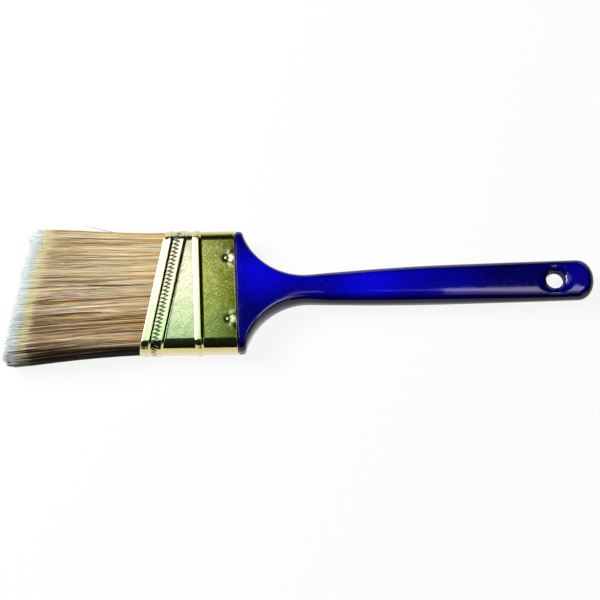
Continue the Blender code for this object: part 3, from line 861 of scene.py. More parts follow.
        # Painted highlight beside each nail, on the broad faces
        burnish = broad * self.round_nails(x - self.burnish_shift, y0, self.burnish_radius)
        dents = self.dent_depth * broad * self.round_nails(x, y0, self.dent_radius)
        in_line = self.round_nails(-self.nail_from_end, y0, self.lift_radius)
        beads = beads + self.lift_height * broad * in_line * ease(x / self.nail_from_end + 1)
        groove = self.round_groove((behind - self.groove_place) / self.groove_half, self.groove_depth)
        pressed = crimp + dents + self.hem(behind) + self.hem(-x) + groove
        rise = np.where(outer > 0, beads - pressed, -self.wall)
        y = y0 + out_y * rise + self.askew(x)
        z = z0 + out_z * rise
        skin = Skin.grid(np.stack([x, y, z], axis=-1), wrap_rows=True, wrap_columns=True)
        return skin, {"grime": grime * outer, "burnish": burnish * outer}

    def build(self, metal: bpy.types.Material) -> None:
        """Makes the sleeve and dresses it.

        Args:
            metal: its finish.
        """
        skin, marks = self.skin()
        piece = self.bench.make("ferrule_sleeve", skin, crease=self.crease)
        for name, values in marks.items():
            mark(piece, name, values)
        piece.data.materials.append(metal)
        hand_over(piece, ["ferrule"])


@dataclass
class Nail:
    """A domed tack through the ferrule's sheet into the tenon."""

    bench: Bench
    ferrule: Ferrule
    face: Face
    end: End
    seat: float = 8.07 * MM
    head_radius: float = 1.1 * MM
    head_height: float = 0.45 * MM
    edge_height: float = 0.14 * MM
    underside: float = 0.96  # share of the head's radius
    dome_power: int = 4
    dome_steps: int = 12
    shank_radius: float = 0.7 * MM
    tip: float = 2.45 * MM
    point: float = 1.6 * MM
    steps: int = 32
    weld: float = 0.002 * MM

    def skin(self) -> Skin:
        """A profile of radius and height turned about the nail's axis: point, shank, underside, flat dome.

        Returns:
            The nail, with the points of each pole still apart.
        """
        dome = np.linspace(1.0, 0.0, self.dome_steps + 1)[:-1]
        shank = [0.0, self.shank_radius, self.shank_radius, self.head_radius * self.underside]
        radius = np.concatenate([shank, self.head_radius * dome, [0.0]])
        rise = mix(self.head_height, self.edge_height, dome**self.dome_power)
        foot = [self.tip, self.tip + self.point, self.seat, self.seat]
        height = np.concatenate([foot, self.seat + rise, [self.seat + self.head_height]])
        turn = np.linspace(0.0, math.tau, self.steps, endpoint=False)
        middle_x = -self.ferrule.nail_from_end
        middle_y = self.end.value * self.ferrule.nail_spacing / 2 + self.ferrule.askew(middle_x)
        x = middle_x + radius[:, None] * np.cos(turn)[None, :]
        y = middle_y + radius[:, None] * np.sin(turn)[None, :]
        z = self.face.value * np.broadcast_to(height[:, None], x.shape)
        return Skin.grid(np.stack([x, y, z], axis=-1), wrap_columns=True)

    def build(self, metal: bpy.types.Material) -> None:
        """Makes the tack, closes its poles and dresses it.

        Args:
            metal: its finish.
        """
        place = f"{self.face.name}_{self.end.name}".lower()
        piece = self.bench.make(f"tack_{place}", self.skin(), weld=self.weld)
        piece.data.materials.append(metal)
        hand_over(piece, [f"nail_{place}"])


# Handle


@dataclass
class Handle:
    """Moulded handle: tenon, rim, concave shoulder, neck, grip and a round tail with its hanging hole."""

    bench: Bench
    length: float = 185.4 * MM
    gap: float = 0.7 * MM
    tenon_length: float = 12.0 * MM
    tenon_half_width: float = 30.95 * MM
    tenon_half_thickness: float = 7.45 * MM
    tenon_corner: float = 5.7 * MM
    tenon_chamfer: float = 0.8 * MM
    rim_half_width: float = 31.75 * MM
    rim_half_thickness: float = 8.25 * MM
    rim_corner: float = 6.2 * MM
    rim_end: float = 2.5 * MM
    rim_front_round: float = 0.15 * MM
    rim_flat_from: float = 0.1 * MM
    rim_back_round: float = 2.0 * MM
    toe_fullness: float = 1.3 * MM  # the shoulder is fuller on its toe side
    toe_fade: float = 40.0 * MM
    toe_plain: Pair = (60.0 * MM, 150.0 * MM)
    shoulder_sweep: float = math.radians(75.0)
    neck: float = 36.0 * MM
    neck_half_width: float = 7.35 * MM
    neck_half_thickness: float = 6.1 * MM
    thinning: float = 46.0 * MM
    neck_blend: float = 4.0 * MM
    swell_power: int = 3
    belly: float = 90.0 * MM
    belly_half_thickness: float = 6.5 * MM
    tail_half_width: float = 10.65 * MM
    tail_round: float = 8.8 * MM
    tail_bluntness: float = 2.1
    tail_half_thickness: float = 4.7 * MM
    edge_radius: float = 5.0 * MM
    fan_edge_radius: float = 2.8 * MM
    fan_edge_reach: float = 9.0 * MM
    fan_edge_fade: Pair = (26.0 * MM, 60.0 * MM)
    edge_limit: float = 0.92
    crown: float = 0.5 * MM
    hole_x: float = 165.2 * MM
    hole_radius: float = 4.55 * MM
    lip_reach: float = 5.5 * MM
    lip_drop: float = 2.6 * MM
    patch_start: float = 153.0 * MM
    weld: float = 0.004 * MM
    crease: float = math.radians(50)
    corner_steps: int = 15
    rim_steps: int = 7
    roll_steps: int = 8
    fan_steps: int = 90
    grip_steps: int = 90
    grip_crowding: float = 1.3  # the grip's rings crowd towards the neck
    flat_steps: int = 14
    tail_steps: int = 90
    patch_rows: int = 34
    bore_rows: int = 7

    @property
    def rim_start(self) -> float:
        """X where the rim's face is flat, just behind the rounding of its front edge."""
        return self.gap + self.rim_front_round + self.rim_flat_from

    @property
    def tail_start(self) -> float:
        """X where the tail starts to round."""
        return self.length - self.tail_round

    def half_thickness(self, x: Array) -> Array:
        """Side outline: smooth steps from the rim to the neck, on to the belly and down to the tail.

        Args:
            x: places along the axis.

        Returns:
            Half thickness there.
        """
        to_neck = ease((x - self.rim_end) / self.thinning)
        to_belly = ease((x - self.neck) / (self.belly - self.neck))
        to_tail = ease((x - self.belly) / (self.tail_start - self.belly))
        half = mix(self.rim_half_thickness, self.neck_half_thickness, to_neck)
        half = half + (self.belly_half_thickness - self.neck_half_thickness) * to_belly
        return half + (self.tail_half_thickness - self.belly_half_thickness) * to_tail

    def half_width(self, x: Array) -> Array:
        """Plan outline behind the neck: an ease-out to the tail's width, softened as it leaves the neck.

        Args:
            x: places along the axis.

        Returns:
            Half width there.
        """
        behind = np.maximum(x - self.neck, 0.0)
        share = np.clip(behind / (self.tail_start - self.neck), 0.0, 1.0)
        swell = (1 - (1 - share) ** self.swell_power) * (1 - np.exp(-behind / self.neck_blend))
        return mix(self.neck_half_width, self.tail_half_width, swell)

    def toe_extra(self, x: Array) -> Array:
        """How much wider the toe side is than the heel side: it decays along the shoulder and the grip.

        Args:
            x: places along the axis.

        Returns:
            Extra half width of the toe side.
        """
        start, end = self.toe_plain
        decay = np.exp(-x / self.toe_fade) * (1 - ease((x - start) / (end - start)))
        return self.toe_fullness * np.where(x < self.gap, 0.0, decay)

    def edge(self, x: Array) -> tuple[Array, Array, Array]:
        """Crown, flat half thickness and edge radius behind the rim.

        The crown grows by an ease on the way to the neck. The radius eases down from the rim's to the
        shoulder's, and up again to the grip's.

        Args:
            x: places along the axis.

        Returns:
            How far the faces crown, the half thickness below the crown, and the edges' radius.
        """
        crown = self.crown * ease((x - self.rim_end) / (self.neck - self.rim_end))
        flat = self.half_thickness(x) - crown
        start, end = self.fan_edge_fade
        radius = mix(self.rim_corner, self.fan_edge_radius, ease((x - self.rim_end) / self.fan_edge_reach))
        radius = mix(radius, self.edge_radius, ease((x - start) / (end - start)))
        return crown, flat, np.minimum(radius, self.edge_limit * flat)

    def drop(self, x: Array, flat: Array, radius: Array) -> Array:
        """How far the edge comes down: its radius, but on the shoulder nearly all the flat half thickness.

        Args:
            x: places along the axis.
            flat: half thickness below the crown.
            radius: how far the edge reaches in.

        Returns:
            Height of the edge's quarter ellipse.
        """
        start, end = self.fan_edge_fade
        share = ease((x - self.rim_end) / self.fan_edge_reach) * (1 - ease((x - start) / (end - start)))
        return mix(radius, self.edge_limit * flat, share)

    def stations(self) -> tuple[Array, ...]:
        """Rings from the tenon's end to the patch round the hole.

        The rim rounds over on a quarter circle in front and on an arc behind. The shoulder is an elliptic arc
        that starts where that arc ends, and runs out along the axis at the neck.

        Returns:
            X, half width, flat half thickness, edge radius and crown of each ring.
        """
        inset = np.array([self.tenon_chamfer, 0.0, 0.0])
        tenon = [
            np.array([-self.tenon_length, self.tenon_chamfer - self.tenon_length, self.gap]),
            self.tenon_half_width - inset,
            self.tenon_half_thickness - inset,
            self.tenon_corner - inset,
            np.zeros(len(inset)),
        ]
        angle = np.linspace(0.0, np.pi / 2, self.rim_steps)
        inset = np.append(self.rim_front_round * (1 - np.sin(angle)), 0.0)
        front = [
            np.append(self.gap + self.rim_front_round * (1 - np.cos(angle)), self.rim_start),
            self.rim_half_width - inset,
            self.rim_half_thickness - inset,
            self.rim_corner - inset,
            np.zeros(len(inset)),
        ]
        angle = np.linspace(0.0, self.shoulder_sweep, self.roll_steps)
        roll_x = self.rim_end + self.rim_back_round * np.sin(angle)
        roll_y = self.rim_half_width - self.rim_back_round * (1 - np.cos(angle))
        reach_x = (self.neck - roll_x[-1]) / math.sin(self.shoulder_sweep)
        reach_y = (roll_y[-1] - self.neck_half_width) / (1 - math.cos(self.shoulder_sweep))
        angle = np.linspace(self.shoulder_sweep, 0.0, self.fan_steps)[1:]
        fan_x = self.neck - reach_x * np.sin(angle)
        fan_y = self.neck_half_width + reach_y * (1 - np.cos(angle))
        share = np.linspace(0.0, 1.0, self.grip_steps)[1:] ** self.grip_crowding
        grip_x = mix(self.neck, self.patch_start, share)
        x = np.concatenate([roll_x, fan_x, grip_x])
        y = np.concatenate([roll_y, fan_y, self.half_width(grip_x)])
        crown, flat, radius = self.edge(x)
        behind = [x, y, flat, radius, crown]
        return tuple(np.concatenate(parts) for parts in zip(tenon, front, behind))

    def half_ring(self) -> tuple[Array, Array, Array]:
        """One face's half of a section from the +Y side to the -Y side, in unit form.

        Returns:
            Where the corner's centre stands from 1 to -1, and cosine and sine of the normal's angle.
        """
        angle = np.linspace(0.0, np.pi / 2, self.corner_steps)
        flat = np.linspace(1.0, -1.0, self.flat_steps + 1)[1:-1]
        place = np.concatenate([np.ones(self.corner_steps), flat, -np.ones(self.corner_steps)])
        cosine = np.concatenate([np.cos(angle), np.zeros(len(flat)), -np.cos(angle)[::-1]])
        sine = np.concatenate([np.sin(angle), np.ones(len(flat)), np.sin(angle)[::-1]])
        return place, cosine, sine

    def body_skin(self) -> Skin:
        """Tenon to grip: each ring is a rectangle with quarter-ellipse corners, crowned by a parabola.

        Returns:
            The rings in one skin, closed at the tenon's end and open at the patch round the hole.
        """
        x, half_y, flat, radius, crown = (value[:, None] for value in self.stations())
        place, cosine, sine = self.half_ring()
        y = place * (half_y - radius) + radius * cosine
        drop = self.drop(x, flat, radius)
        z = (flat - drop + drop * sine) * (1 + crown / flat * (1 - (y / half_y) ** 2))
        y = np.where(y < 0, y * (1 + self.toe_extra(x) / half_y), y)
        front = np.stack([np.broadcast_to(x, y.shape), y, z], axis=-1)
        back = front[:, ::-1] * np.array([1.0, 1.0, -1.0])
        ring = Skin.grid(np.concatenate([front, back], axis=1), wrap_columns=True)
        ring.faces.append(np.arange(2 * y.shape[1])[None, :])
        return ring

    def outline(self) -> tuple[Array, int]:
        """Closed plan outline of the patch round the hole, from the +Y side of its straight start.

        The tail's end is a superellipse, a little blunter than an ellipse.

        Returns:
            (x, y) points, and how many of them lie on the straight start.
        """
        place, cosine, _ = self.half_ring()
        start = np.array([self.patch_start])
        half = self.half_width(start)[0]
        radius = self.edge(start)[2][0]
        across = place * (half - radius) + radius * cosine
        straight = np.stack([np.full(len(across), self.patch_start), across], axis=-1)
        side_x = np.linspace(self.patch_start, self.tail_start, self.tail_steps // 4)[1:]
        angle = np.linspace(0.0, np.pi / 2, self.tail_steps // 2)[1:]
        power = 2 / self.tail_bluntness
        round_x = self.tail_start + self.tail_round * np.sin(angle) ** power
        round_y = self.tail_half_width * np.cos(angle) ** power
        round_y[-1] = 0.0
        side = np.stack([side_x, -self.half_width(side_x)], axis=-1)
        lower = np.concatenate([side, np.stack([round_x, -round_y], axis=-1)])
        upper = (lower[:-1] * np.array([1.0, -1.0]))[::-1]
        return np.concatenate([straight, lower, upper]), len(straight)

    def patch_height(self, x: Array, y: Array, outline: Array) -> Array:
        """Height of the tail's face: flat, less a round edge by the distance from the outline, less the lip.

        The edge is a quarter circle, the lip a quarter ellipse from the bore outwards, and the crown a
        parabola of the distance from the outline.

        Args:
            x: places along the axis.
            y: places across it.
            outline: closed plan outline.

        Returns:
            Height above mid thickness.
        """
        here = np.stack([x.ravel(), y.ravel()], axis=-1)[:, None, :]
        after = np.roll(outline, -1, axis=0)
        side = (outline[:, 0] > self.patch_start) | (after[:, 0] > self.patch_start)
        first, leg = outline[None, side], (after - outline)[None, side]
        share = np.clip(((here - first) * leg).sum(-1) / (leg**2).sum(-1), 0.0, 1.0)
        inside = np.sqrt((((here - first) - share[..., None] * leg) ** 2).sum(-1).min(1)).reshape(x.shape)
        held = np.minimum(x, self.tail_start)
        crown, flat, radius = self.edge(held)
        over = np.clip(radius - inside, 0.0, radius)
        height = flat - radius + np.sqrt(radius**2 - over**2)
        from_middle = 1 - np.clip(inside / self.half_width(held), 0.0, 1.0)
        height = height * (1 + crown / flat * (1 - from_middle**2))
        from_bore = np.hypot(x - self.hole_x, y) - self.hole_radius
        near = np.clip(1 - from_bore / self.lip_reach, 0.0, 1.0)
        return height - self.lip_drop * (1 - np.sqrt(1 - near**2))

    def patch_skins(self) -> list[Skin]:
        """The tail round its hole: rays from the bore to the outline, on both faces, with bore and side wall.

        Along each ray the rows crowd at both ends, by half a cosine, where the lip and the edge turn down.

        Returns:
            Front face, back face, bore and side wall.
        """
        outline, straight = self.outline()
        spoke = outline - np.array([self.hole_x, 0.0])
        far = np.hypot(spoke[:, 0], spoke[:, 1])
        heading = spoke / far[:, None]
        share = (1 - np.cos(np.pi * np.linspace(0.0, 1.0, self.patch_rows))) / 2
        reach = self.hole_radius + share[:, None] * (far - self.hole_radius)[None, :]
        x = self.hole_x + reach * heading[None, :, 0]
        y = reach * heading[None, :, 1]
        front = np.stack([x, y, self.patch_height(x, y, outline)], axis=-1)
        mirror = np.array([1.0, 1.0, -1.0])
        through = np.linspace(1.0, -1.0, self.bore_rows)[:, None, None]
        bore = front[:1] * np.where([True, True, False], 1.0, through)
        rim = np.concatenate([front[-1, straight - 1 :], front[-1, :1]])
        wall = np.stack([rim, rim * mirror])
        rounds = [Skin.grid(points, wrap_columns=True) for points in (front, front * mirror, bore)]
        return [*rounds, Skin.grid(wall)]

    def build(self, plastic: bpy.types.Material, shaded_bore: bpy.types.Material) -> None:
        """Makes the moulding, welds its parts and dresses it.

        Args:
            plastic: finish of the outside.
            shaded_bore: finish of the bore's wall, darker by painted shade.
        """
        skin = Skin.joined([self.body_skin(), *self.patch_skins()])
        piece = self.bench.make("handle_moulding", skin, weld=self.weld, crease=self.crease)
        piece.data.materials.append(plastic)
        piece.data.materials.append(shaded_bore)
        middles = np.empty(3 * len(piece.data.polygons), np.float32)
        piece.data.polygons.foreach_get("center", middles)
        x, y, _ = (middles.reshape(-1, 3) - self.bench.offset).T
        in_bore = np.hypot(x - self.hole_x, y) < self.hole_radius
        piece.data.polygons.foreach_set("material_index", in_bore.astype(np.int32))
        hand_over(piece, ["handle"])


# Filaments


@dataclass(frozen=True)
class Bundle:
    """One group of filaments: the node it stands for, its share of the pack and how many it has."""

    node: str
    count: int
    across: Pair
    depth: Pair
    crowd: float
    stray: bool = False


@dataclass(frozen=True)
class Shading:
    """How filaments differ in tone and warmth: across the pack, from one to the next, and along each; the
    tone also holds painted light and shade.
    """

    tone: float = 0.75
    # Painted light towards the heel and painted shade towards the toe
    heel_tone: float = 0.08
    toe_half_shade: float = 0.19
    toe_half_shade_from: float = 0.1
    toe_half_shade_over: float = 0.5
    own_tone: float = 0.16
    dark_share: float = 0.09
    dark_fall: float = 0.34
    # Painted shade near the mouth
    mouth_root_shade: float = 0.1
    mouth_root_shade_over: float = 0.3
    # Painted shade on the toe side, fading towards the tips
    toe_side_shade: float = 0.58
    toe_side_shade_from: float = 0.9
    toe_side_shade_widening: float = 0.13
    toe_side_shade_over: float = 0.07
    toe_side_shade_fade: float = 0.85
    toe_side_shade_fade_from: float = 0.82
    toe_side_shade_fade_over: float = 0.14
    warmth: float = 0.45
    heel_warmth: float = 0.4
    own_warmth: float = 0.2
    mouth_warmth: float = 0.4
    mouth_warmth_over: float = 0.45

    def tones(self, u: Array, forward: Array, lock_tone: Array, rng: np.random.Generator) -> Array:
        """Tone: painted light towards the heel, painted shade at the toe, whose side faces away from the
        light, and a little at the mouth, and lower on a few.

        Args:
            u: place across the mouth, from -1 at the toe to 1 at the heel.
            forward: share of the length, from 0 at the mouth to 1 at the tip.
            lock_tone: what each filament's lock adds.
            rng: source of the filaments' own differences.

        Returns:
            Tone as (filament, station).
        """
        dark = rng.random(len(u)) < self.dark_share
        # Painted light towards the heel, painted shade in the toe half
        tone = self.tone + self.heel_tone * u
        tone = tone - self.toe_half_shade * ease((-self.toe_half_shade_from - u) / self.toe_half_shade_over)
        tone = tone + lock_tone + rng.normal(0.0, self.own_tone, len(u)) - self.dark_fall * dark
        # Painted shade on the toe side, fading towards the tips
        side = ease((-u[:, None] - self.toe_side_shade_from + self.toe_side_shade_widening * forward) / self.toe_side_shade_over)
        side = side * (1 - self.toe_side_shade_fade * ease((forward - self.toe_side_shade_fade_from) / self.toe_side_shade_fade_over))
        # Painted shade near the mouth
        at_mouth = 1 - ease(forward / self.mouth_root_shade_over)
        return np.clip(tone[:, None] - self.mouth_root_shade * at_mouth - self.toe_side_shade * side, 0.0, 1.0)

    def warmths(self, u: Array, forward: Array, lock_warmth: Array, rng: np.random.Generator) -> Array:
        """Warmth: it rises at the heel and at the mouth.

        Args:
            u: place across the mouth, from -1 at the toe to 1 at the heel.
            forward: share of the length, from 0 at the mouth to 1 at the tip.
            lock_warmth: what each filament's lock adds.
            rng: source of the filaments' own differences.

        Returns:
            Warmth as (filament, station).
        """
        warmth = self.warmth + self.heel_warmth * u + lock_warmth
        warmth = warmth + rng.normal(0.0, self.own_warmth, len(u))
        at_mouth = 1 - ease(forward / self.mouth_warmth_over)
        return np.clip(warmth[:, None] + self.mouth_warmth * at_mouth, 0.0, 1.0)


@dataclass
class FilamentPack:
    """Thousands of tapered filaments that fill the mouth, fan out, bunch in locks and end in a slant."""

    bench: Bench
    ferrule: Ferrule
    shading: Shading = Shading()
    half_width: float = 31.9 * MM
    half_thickness: float = 7.65 * MM
    corner: float = 5.7 * MM
    embedded: float = 15.5 * MM
    out_toe: float = 71.2 * MM
    out_heel: float = 69.4 * MM
    tip_half_width_toe: float = 35.5 * MM
    tip_half_width_heel: float = 36.9 * MM
    fan_turn: float = 0.75  # share of the ease that the fan uses, so that it still spreads at the tips
    bulge: float = 0.05
    draw_in: float = 0.22
    draw_power: float = 1.6
    tip_bow: float = 1.3 * MM
    tip_jitter: float = 0.7 * MM
    chisel: float = 3.2 * MM
    toe_rounding: float = 3.2 * MM
    toe_round_from: float = 0.86
    toe_round_over: float = 0.14
    filament_radius: float = 0.14 * MM  # real ones are about 0.1; drawn thicker so that they show
    sides: int = 3
    stations: tuple[float, ...] = (0.0, 0.0, 0.16, 0.32, 0.5, 0.68, 0.86, 1.0)
    taper: tuple[float, ...] = (1.0, 1.0, 1.0, 1.0, 1.0, 0.95, 0.75, 0.35)
    lock_count: int = 700
    lock_depth: float = 0.45  # how much less the depth counts than the width when locks form
    lock_spread: float = 1.12
    lock_lean: float = 0.6 * MM
    lock_sway: float = 0.35 * MM
    lock_sway_turn: float = 6.0
    lock_dip: float = 1.1 * MM
    lock_wave: Pair = (0.5, 1.5)
    lock_short: float = 0.45 * MM
    lock_tone: float = 0.11
    lock_warmth: float = 0.22
    lock_pull: Pair = (0.1, 0.45)
    pull_strength: float = 0.4
    own_lean: float = 0.8 * MM
    own_sway: float = 0.2 * MM
    own_sway_turn: float = 9.0
    own_dip: float = 0.8 * MM
    own_wave: float = 1.2
    own_short: float = 0.8 * MM
    lean_power: float = 1.4
    depth_lean: float = 0.6
    edge_freedom: float = 0.1
    edge_power: int = 6
    dip_gain: float = 1.5
    stray_reach: Pair = (0.62, 4.0 * MM)
    stray_bend: int = 3
    stray_tone: float = -0.6
    seed: int = 41

    def length_out(self, u: Array, w: Array) -> Array:
        """Length beyond the mouth: a bowed line, less a chisel by depth squared and an ease at the toe.

        Args:
            u: place across the mouth, from -1 at the toe to 1 at the heel.
            w: place through the mouth, from -1 at the back to 1 at the front.

        Returns:
            Length of each filament in front of the mouth.
        """
        slant = mix(self.out_toe, self.out_heel, (u + 1) / 2) + self.tip_bow * (1 - u**2)
        at_toe = ease((-u - self.toe_round_from) / self.toe_round_over)
        return slant - self.chisel * np.abs(w) ** 2 - self.toe_rounding * at_toe

    def thickness_at(self, u: Array) -> Array:
        """Half thickness of the mouth at a share of its half width: flat, then down a corner's arc."""
        beyond = np.maximum(np.abs(u) * self.half_width - (self.half_width - self.corner), 0.0)
        return self.half_thickness - self.corner + np.sqrt(np.maximum(self.corner**2 - beyond**2, 0.0))

    def paths(
        self, u: Array, w: Array, stray: bool, rng: np.random.Generator
    ) -> tuple[Array, dict[str, Array]]:
        """Centre lines of filaments, each at its own place (u, w) in the mouth, and what colours them.

        Behind the mouth a filament runs straight. In front it fans out by an ease, swells by a parabola,
        draws in towards the tips, leans to the middle of its lock, sways by a sine and dips into the pack by
        a cosine, so that filaments pass over and under each other. Those at the edges lean and sway less.

        Args:
            u: place across the mouth, from -1 at the toe to 1 at the heel.
            w: place through the mouth, from -1 at the back to 1 at the front.
            stray: whether the last filament stands off the edge, short and bent.
            rng: source of the filaments' own differences.

        Returns:
            Points as (filament, station, 3), and tone, warmth and distance from the tip at each of them.
        """
        count = len(u)
        seeds = rng.uniform(-1.0, 1.0, (self.lock_count, 2))
        spread = np.array([self.half_width, self.half_thickness * self.lock_depth])
        gaps = (np.stack([u, w], -1)[:, None, :] - seeds[None]) * spread
        lock = (gaps**2).sum(-1).argmin(1)
        lock_lean = rng.normal(0.0, self.lock_lean, (self.lock_count, 2))[lock]
        lock_sway = rng.normal(0.0, self.lock_sway, self.lock_count)[lock, None]
        lock_dip = rng.uniform(0.0, self.lock_dip, self.lock_count)[lock, None]
        lock_wave = rng.uniform(*self.lock_wave, self.lock_count)[lock, None]
        lock_phase = rng.uniform(0.0, math.tau, self.lock_count)[lock, None]
        lock_short = rng.normal(0.0, self.lock_short, self.lock_count)[lock]
        lock_tone = rng.normal(0.0, self.lock_tone, self.lock_count)[lock]
        lock_warmth = rng.normal(0.0, self.lock_warmth, self.lock_count)[lock]
        lock_pull = rng.uniform(*self.lock_pull, self.lock_count)[lock, None]
        own_lean = rng.normal(0.0, self.own_lean, (count, 2))
        own_sway = rng.normal(0.0, self.own_sway, count)[:, None]
        own_phase = rng.uniform(0.0, math.tau, count)[:, None]
        own_dip = rng.uniform(0.0, self.own_dip, count)[:, None]
        own_short = np.abs(rng.normal(0.0, self.own_short, count))
        out = self.length_out(u, w) - own_short + lock_short

        forward = np.array(self.stations)[None, :]
        inside = (np.arange(len(self.stations)) == 0)[None, :]
        tip_half = np.where(u > 0, self.tip_half_width_heel, self.tip_half_width_toe)
        fan = ease(forward * self.fan_turn) / ease(np.array(self.fan_turn))
        y = u[:, None] * mix(self.half_width, tip_half[:, None], fan)
        y = y + self.ferrule.askew(-self.ferrule.length) * (1 - fan)
        swell = 1 + self.bulge * 4 * forward * (1 - forward) - self.draw_in * forward**self.draw_power
        z = (w * self.thickness_at(u))[:, None] * swell
        lean = forward**self.lean_power
        free = mix(self.edge_freedom, 1.0, 1 - np.abs(u) ** self.edge_power)[:, None]
        centre_y = (seeds[lock, 0] * self.half_width * self.lock_spread)[:, None]
        y = y + lean * lock_pull * self.pull_strength * (centre_y - y)
        y = y + lean * free * (lock_lean[:, :1] + own_lean[:, :1])
        sway = lock_sway * np.sin(lock_phase + self.lock_sway_turn * forward)
        sway = sway + own_sway * np.sin(own_phase + self.own_sway_turn * forward)
        y = y + free * np.sqrt(forward) * sway
        z = z + lean * (lock_lean[:, 1:] + own_lean[:, 1:]) * self.depth_lean
        dip = lock_dip * (1 - np.cos(math.tau * lock_wave * forward)) / 2
        dip = dip + own_dip * (1 - np.cos(math.tau * self.own_wave * forward + own_phase)) / 2 * forward
        z = z - np.sign(w)[:, None] * dip * np.minimum(np.abs(w)[:, None] * self.dip_gain, 1.0)
        mouth = self.ferrule.mouth_x(u * self.half_width)[:, None]
        from_tip = (1 - forward) * out[:, None] + inside * self.embedded
        if stray:
            share, reach = self.stray_reach
            out[-1] = out[-1] * share
            bend = reach * forward[0] ** self.stray_bend
            y[-1] = self.half_width + (tip_half[-1] - self.half_width) * fan[0] * share + bend
            from_tip[-1] = self.embedded
            lock_tone[-1] = self.stray_tone
        x = mouth + inside * self.embedded - forward * out[:, None]
        colours = {
            "tone": self.shading.tones(u, forward, lock_tone, rng),
            "warmth": self.shading.warmths(u, forward, lock_warmth, rng),
            "from_tip": from_tip + rng.normal(0.0, self.tip_jitter, count)[:, None],
        }
        return np.stack([x, y, z], -1), colours

    def skin(self, paths: Array, rng: np.random.Generator) -> Skin:
        """Three-sided tubes along the paths, tapered over their last third and closed at both ends.

        Each ring is points on a circle round its station.

        Args:
            paths: centre lines as (filament, station, 3).
            rng: source of each tube's turn.

        Returns:
            All tubes in one skin, point numbers in the order filament, station, corner; caps after the sides.
        """
        count, stations = paths.shape[:2]
        turn = math.tau / self.sides * np.arange(self.sides)[None, :]
        angle = rng.uniform(0.0, math.tau, count)[:, None] + turn
        around = np.stack([np.zeros_like(angle), np.cos(angle), np.sin(angle)], axis=-1)
        radius = self.filament_radius * np.array(self.taper)[None, :, None, None]
        rings = paths[:, :, None, :] + radius * around[:, None]
        number = np.arange(count * stations * self.sides).reshape(count, stations, self.sides)
        turned = np.roll(number, -1, axis=2)
        quads = np.stack([number[:, :-1], number[:, 1:], turned[:, 1:], turned[:, :-1]], axis=-1)
        return Skin(rings.reshape(-1, 3), [quads.reshape(-1, 4), number[:, -1, ::-1], number[:, 0]])

    def build(self, bundle: Bundle, fibre: bpy.types.Material) -> None:
        """Makes one bundle, with its filaments crowded towards the outside, and dresses it.

        Args:
            bundle: the group to make.
            fibre: its material.
        """
        rng = np.random.default_rng(self.seed + sum(map(ord, bundle.node)))
        spread = rng.random(bundle.count)
        u = mix(*bundle.across, (np.arange(bundle.count) + spread) / bundle.count)
        w = mix(bundle.depth[1], bundle.depth[0], rng.random(bundle.count) ** bundle.crowd)
        paths, colours = self.paths(u, w, bundle.stray, rng)
        skin = self.skin(paths, rng)
        piece = self.bench.make(bundle.node.replace("bristles", "filaments"), skin)
        smooth = np.arange(len(piece.data.polygons)) < len(skin.faces[0])
        piece.data.polygons.foreach_set("use_smooth", smooth)
        for name, values in colours.items():
            mark(piece, name, np.repeat(values.ravel(), self.sides))
        piece.data.materials.append(fibre)
        hand_over(piece, [bundle.node])


# Studio


@dataclass(frozen=True)
class Lamp:
    """A soft box over the table: place, size and brightness of its face."""

    name: str
    place: tuple[float, float, float]
    size: Pair
    brightness: float

    def build(self) -> None:
        """Hangs the soft box, facing down. A face of brightness b and area A needs pi * A * b watts."""
        data = bpy.data.lights.new(self.name, "AREA")
        data.shape = "RECTANGLE"
        data.size, data.size_y = self.size
        data.energy = math.pi * self.size[0] * self.size[1] * self.brightness
        lamp = bpy.data.objects.new(self.name, data)
        lamp.location = self.place
        lamp.visible_camera = False
        bpy.context.scene.collection.objects.link(lamp)


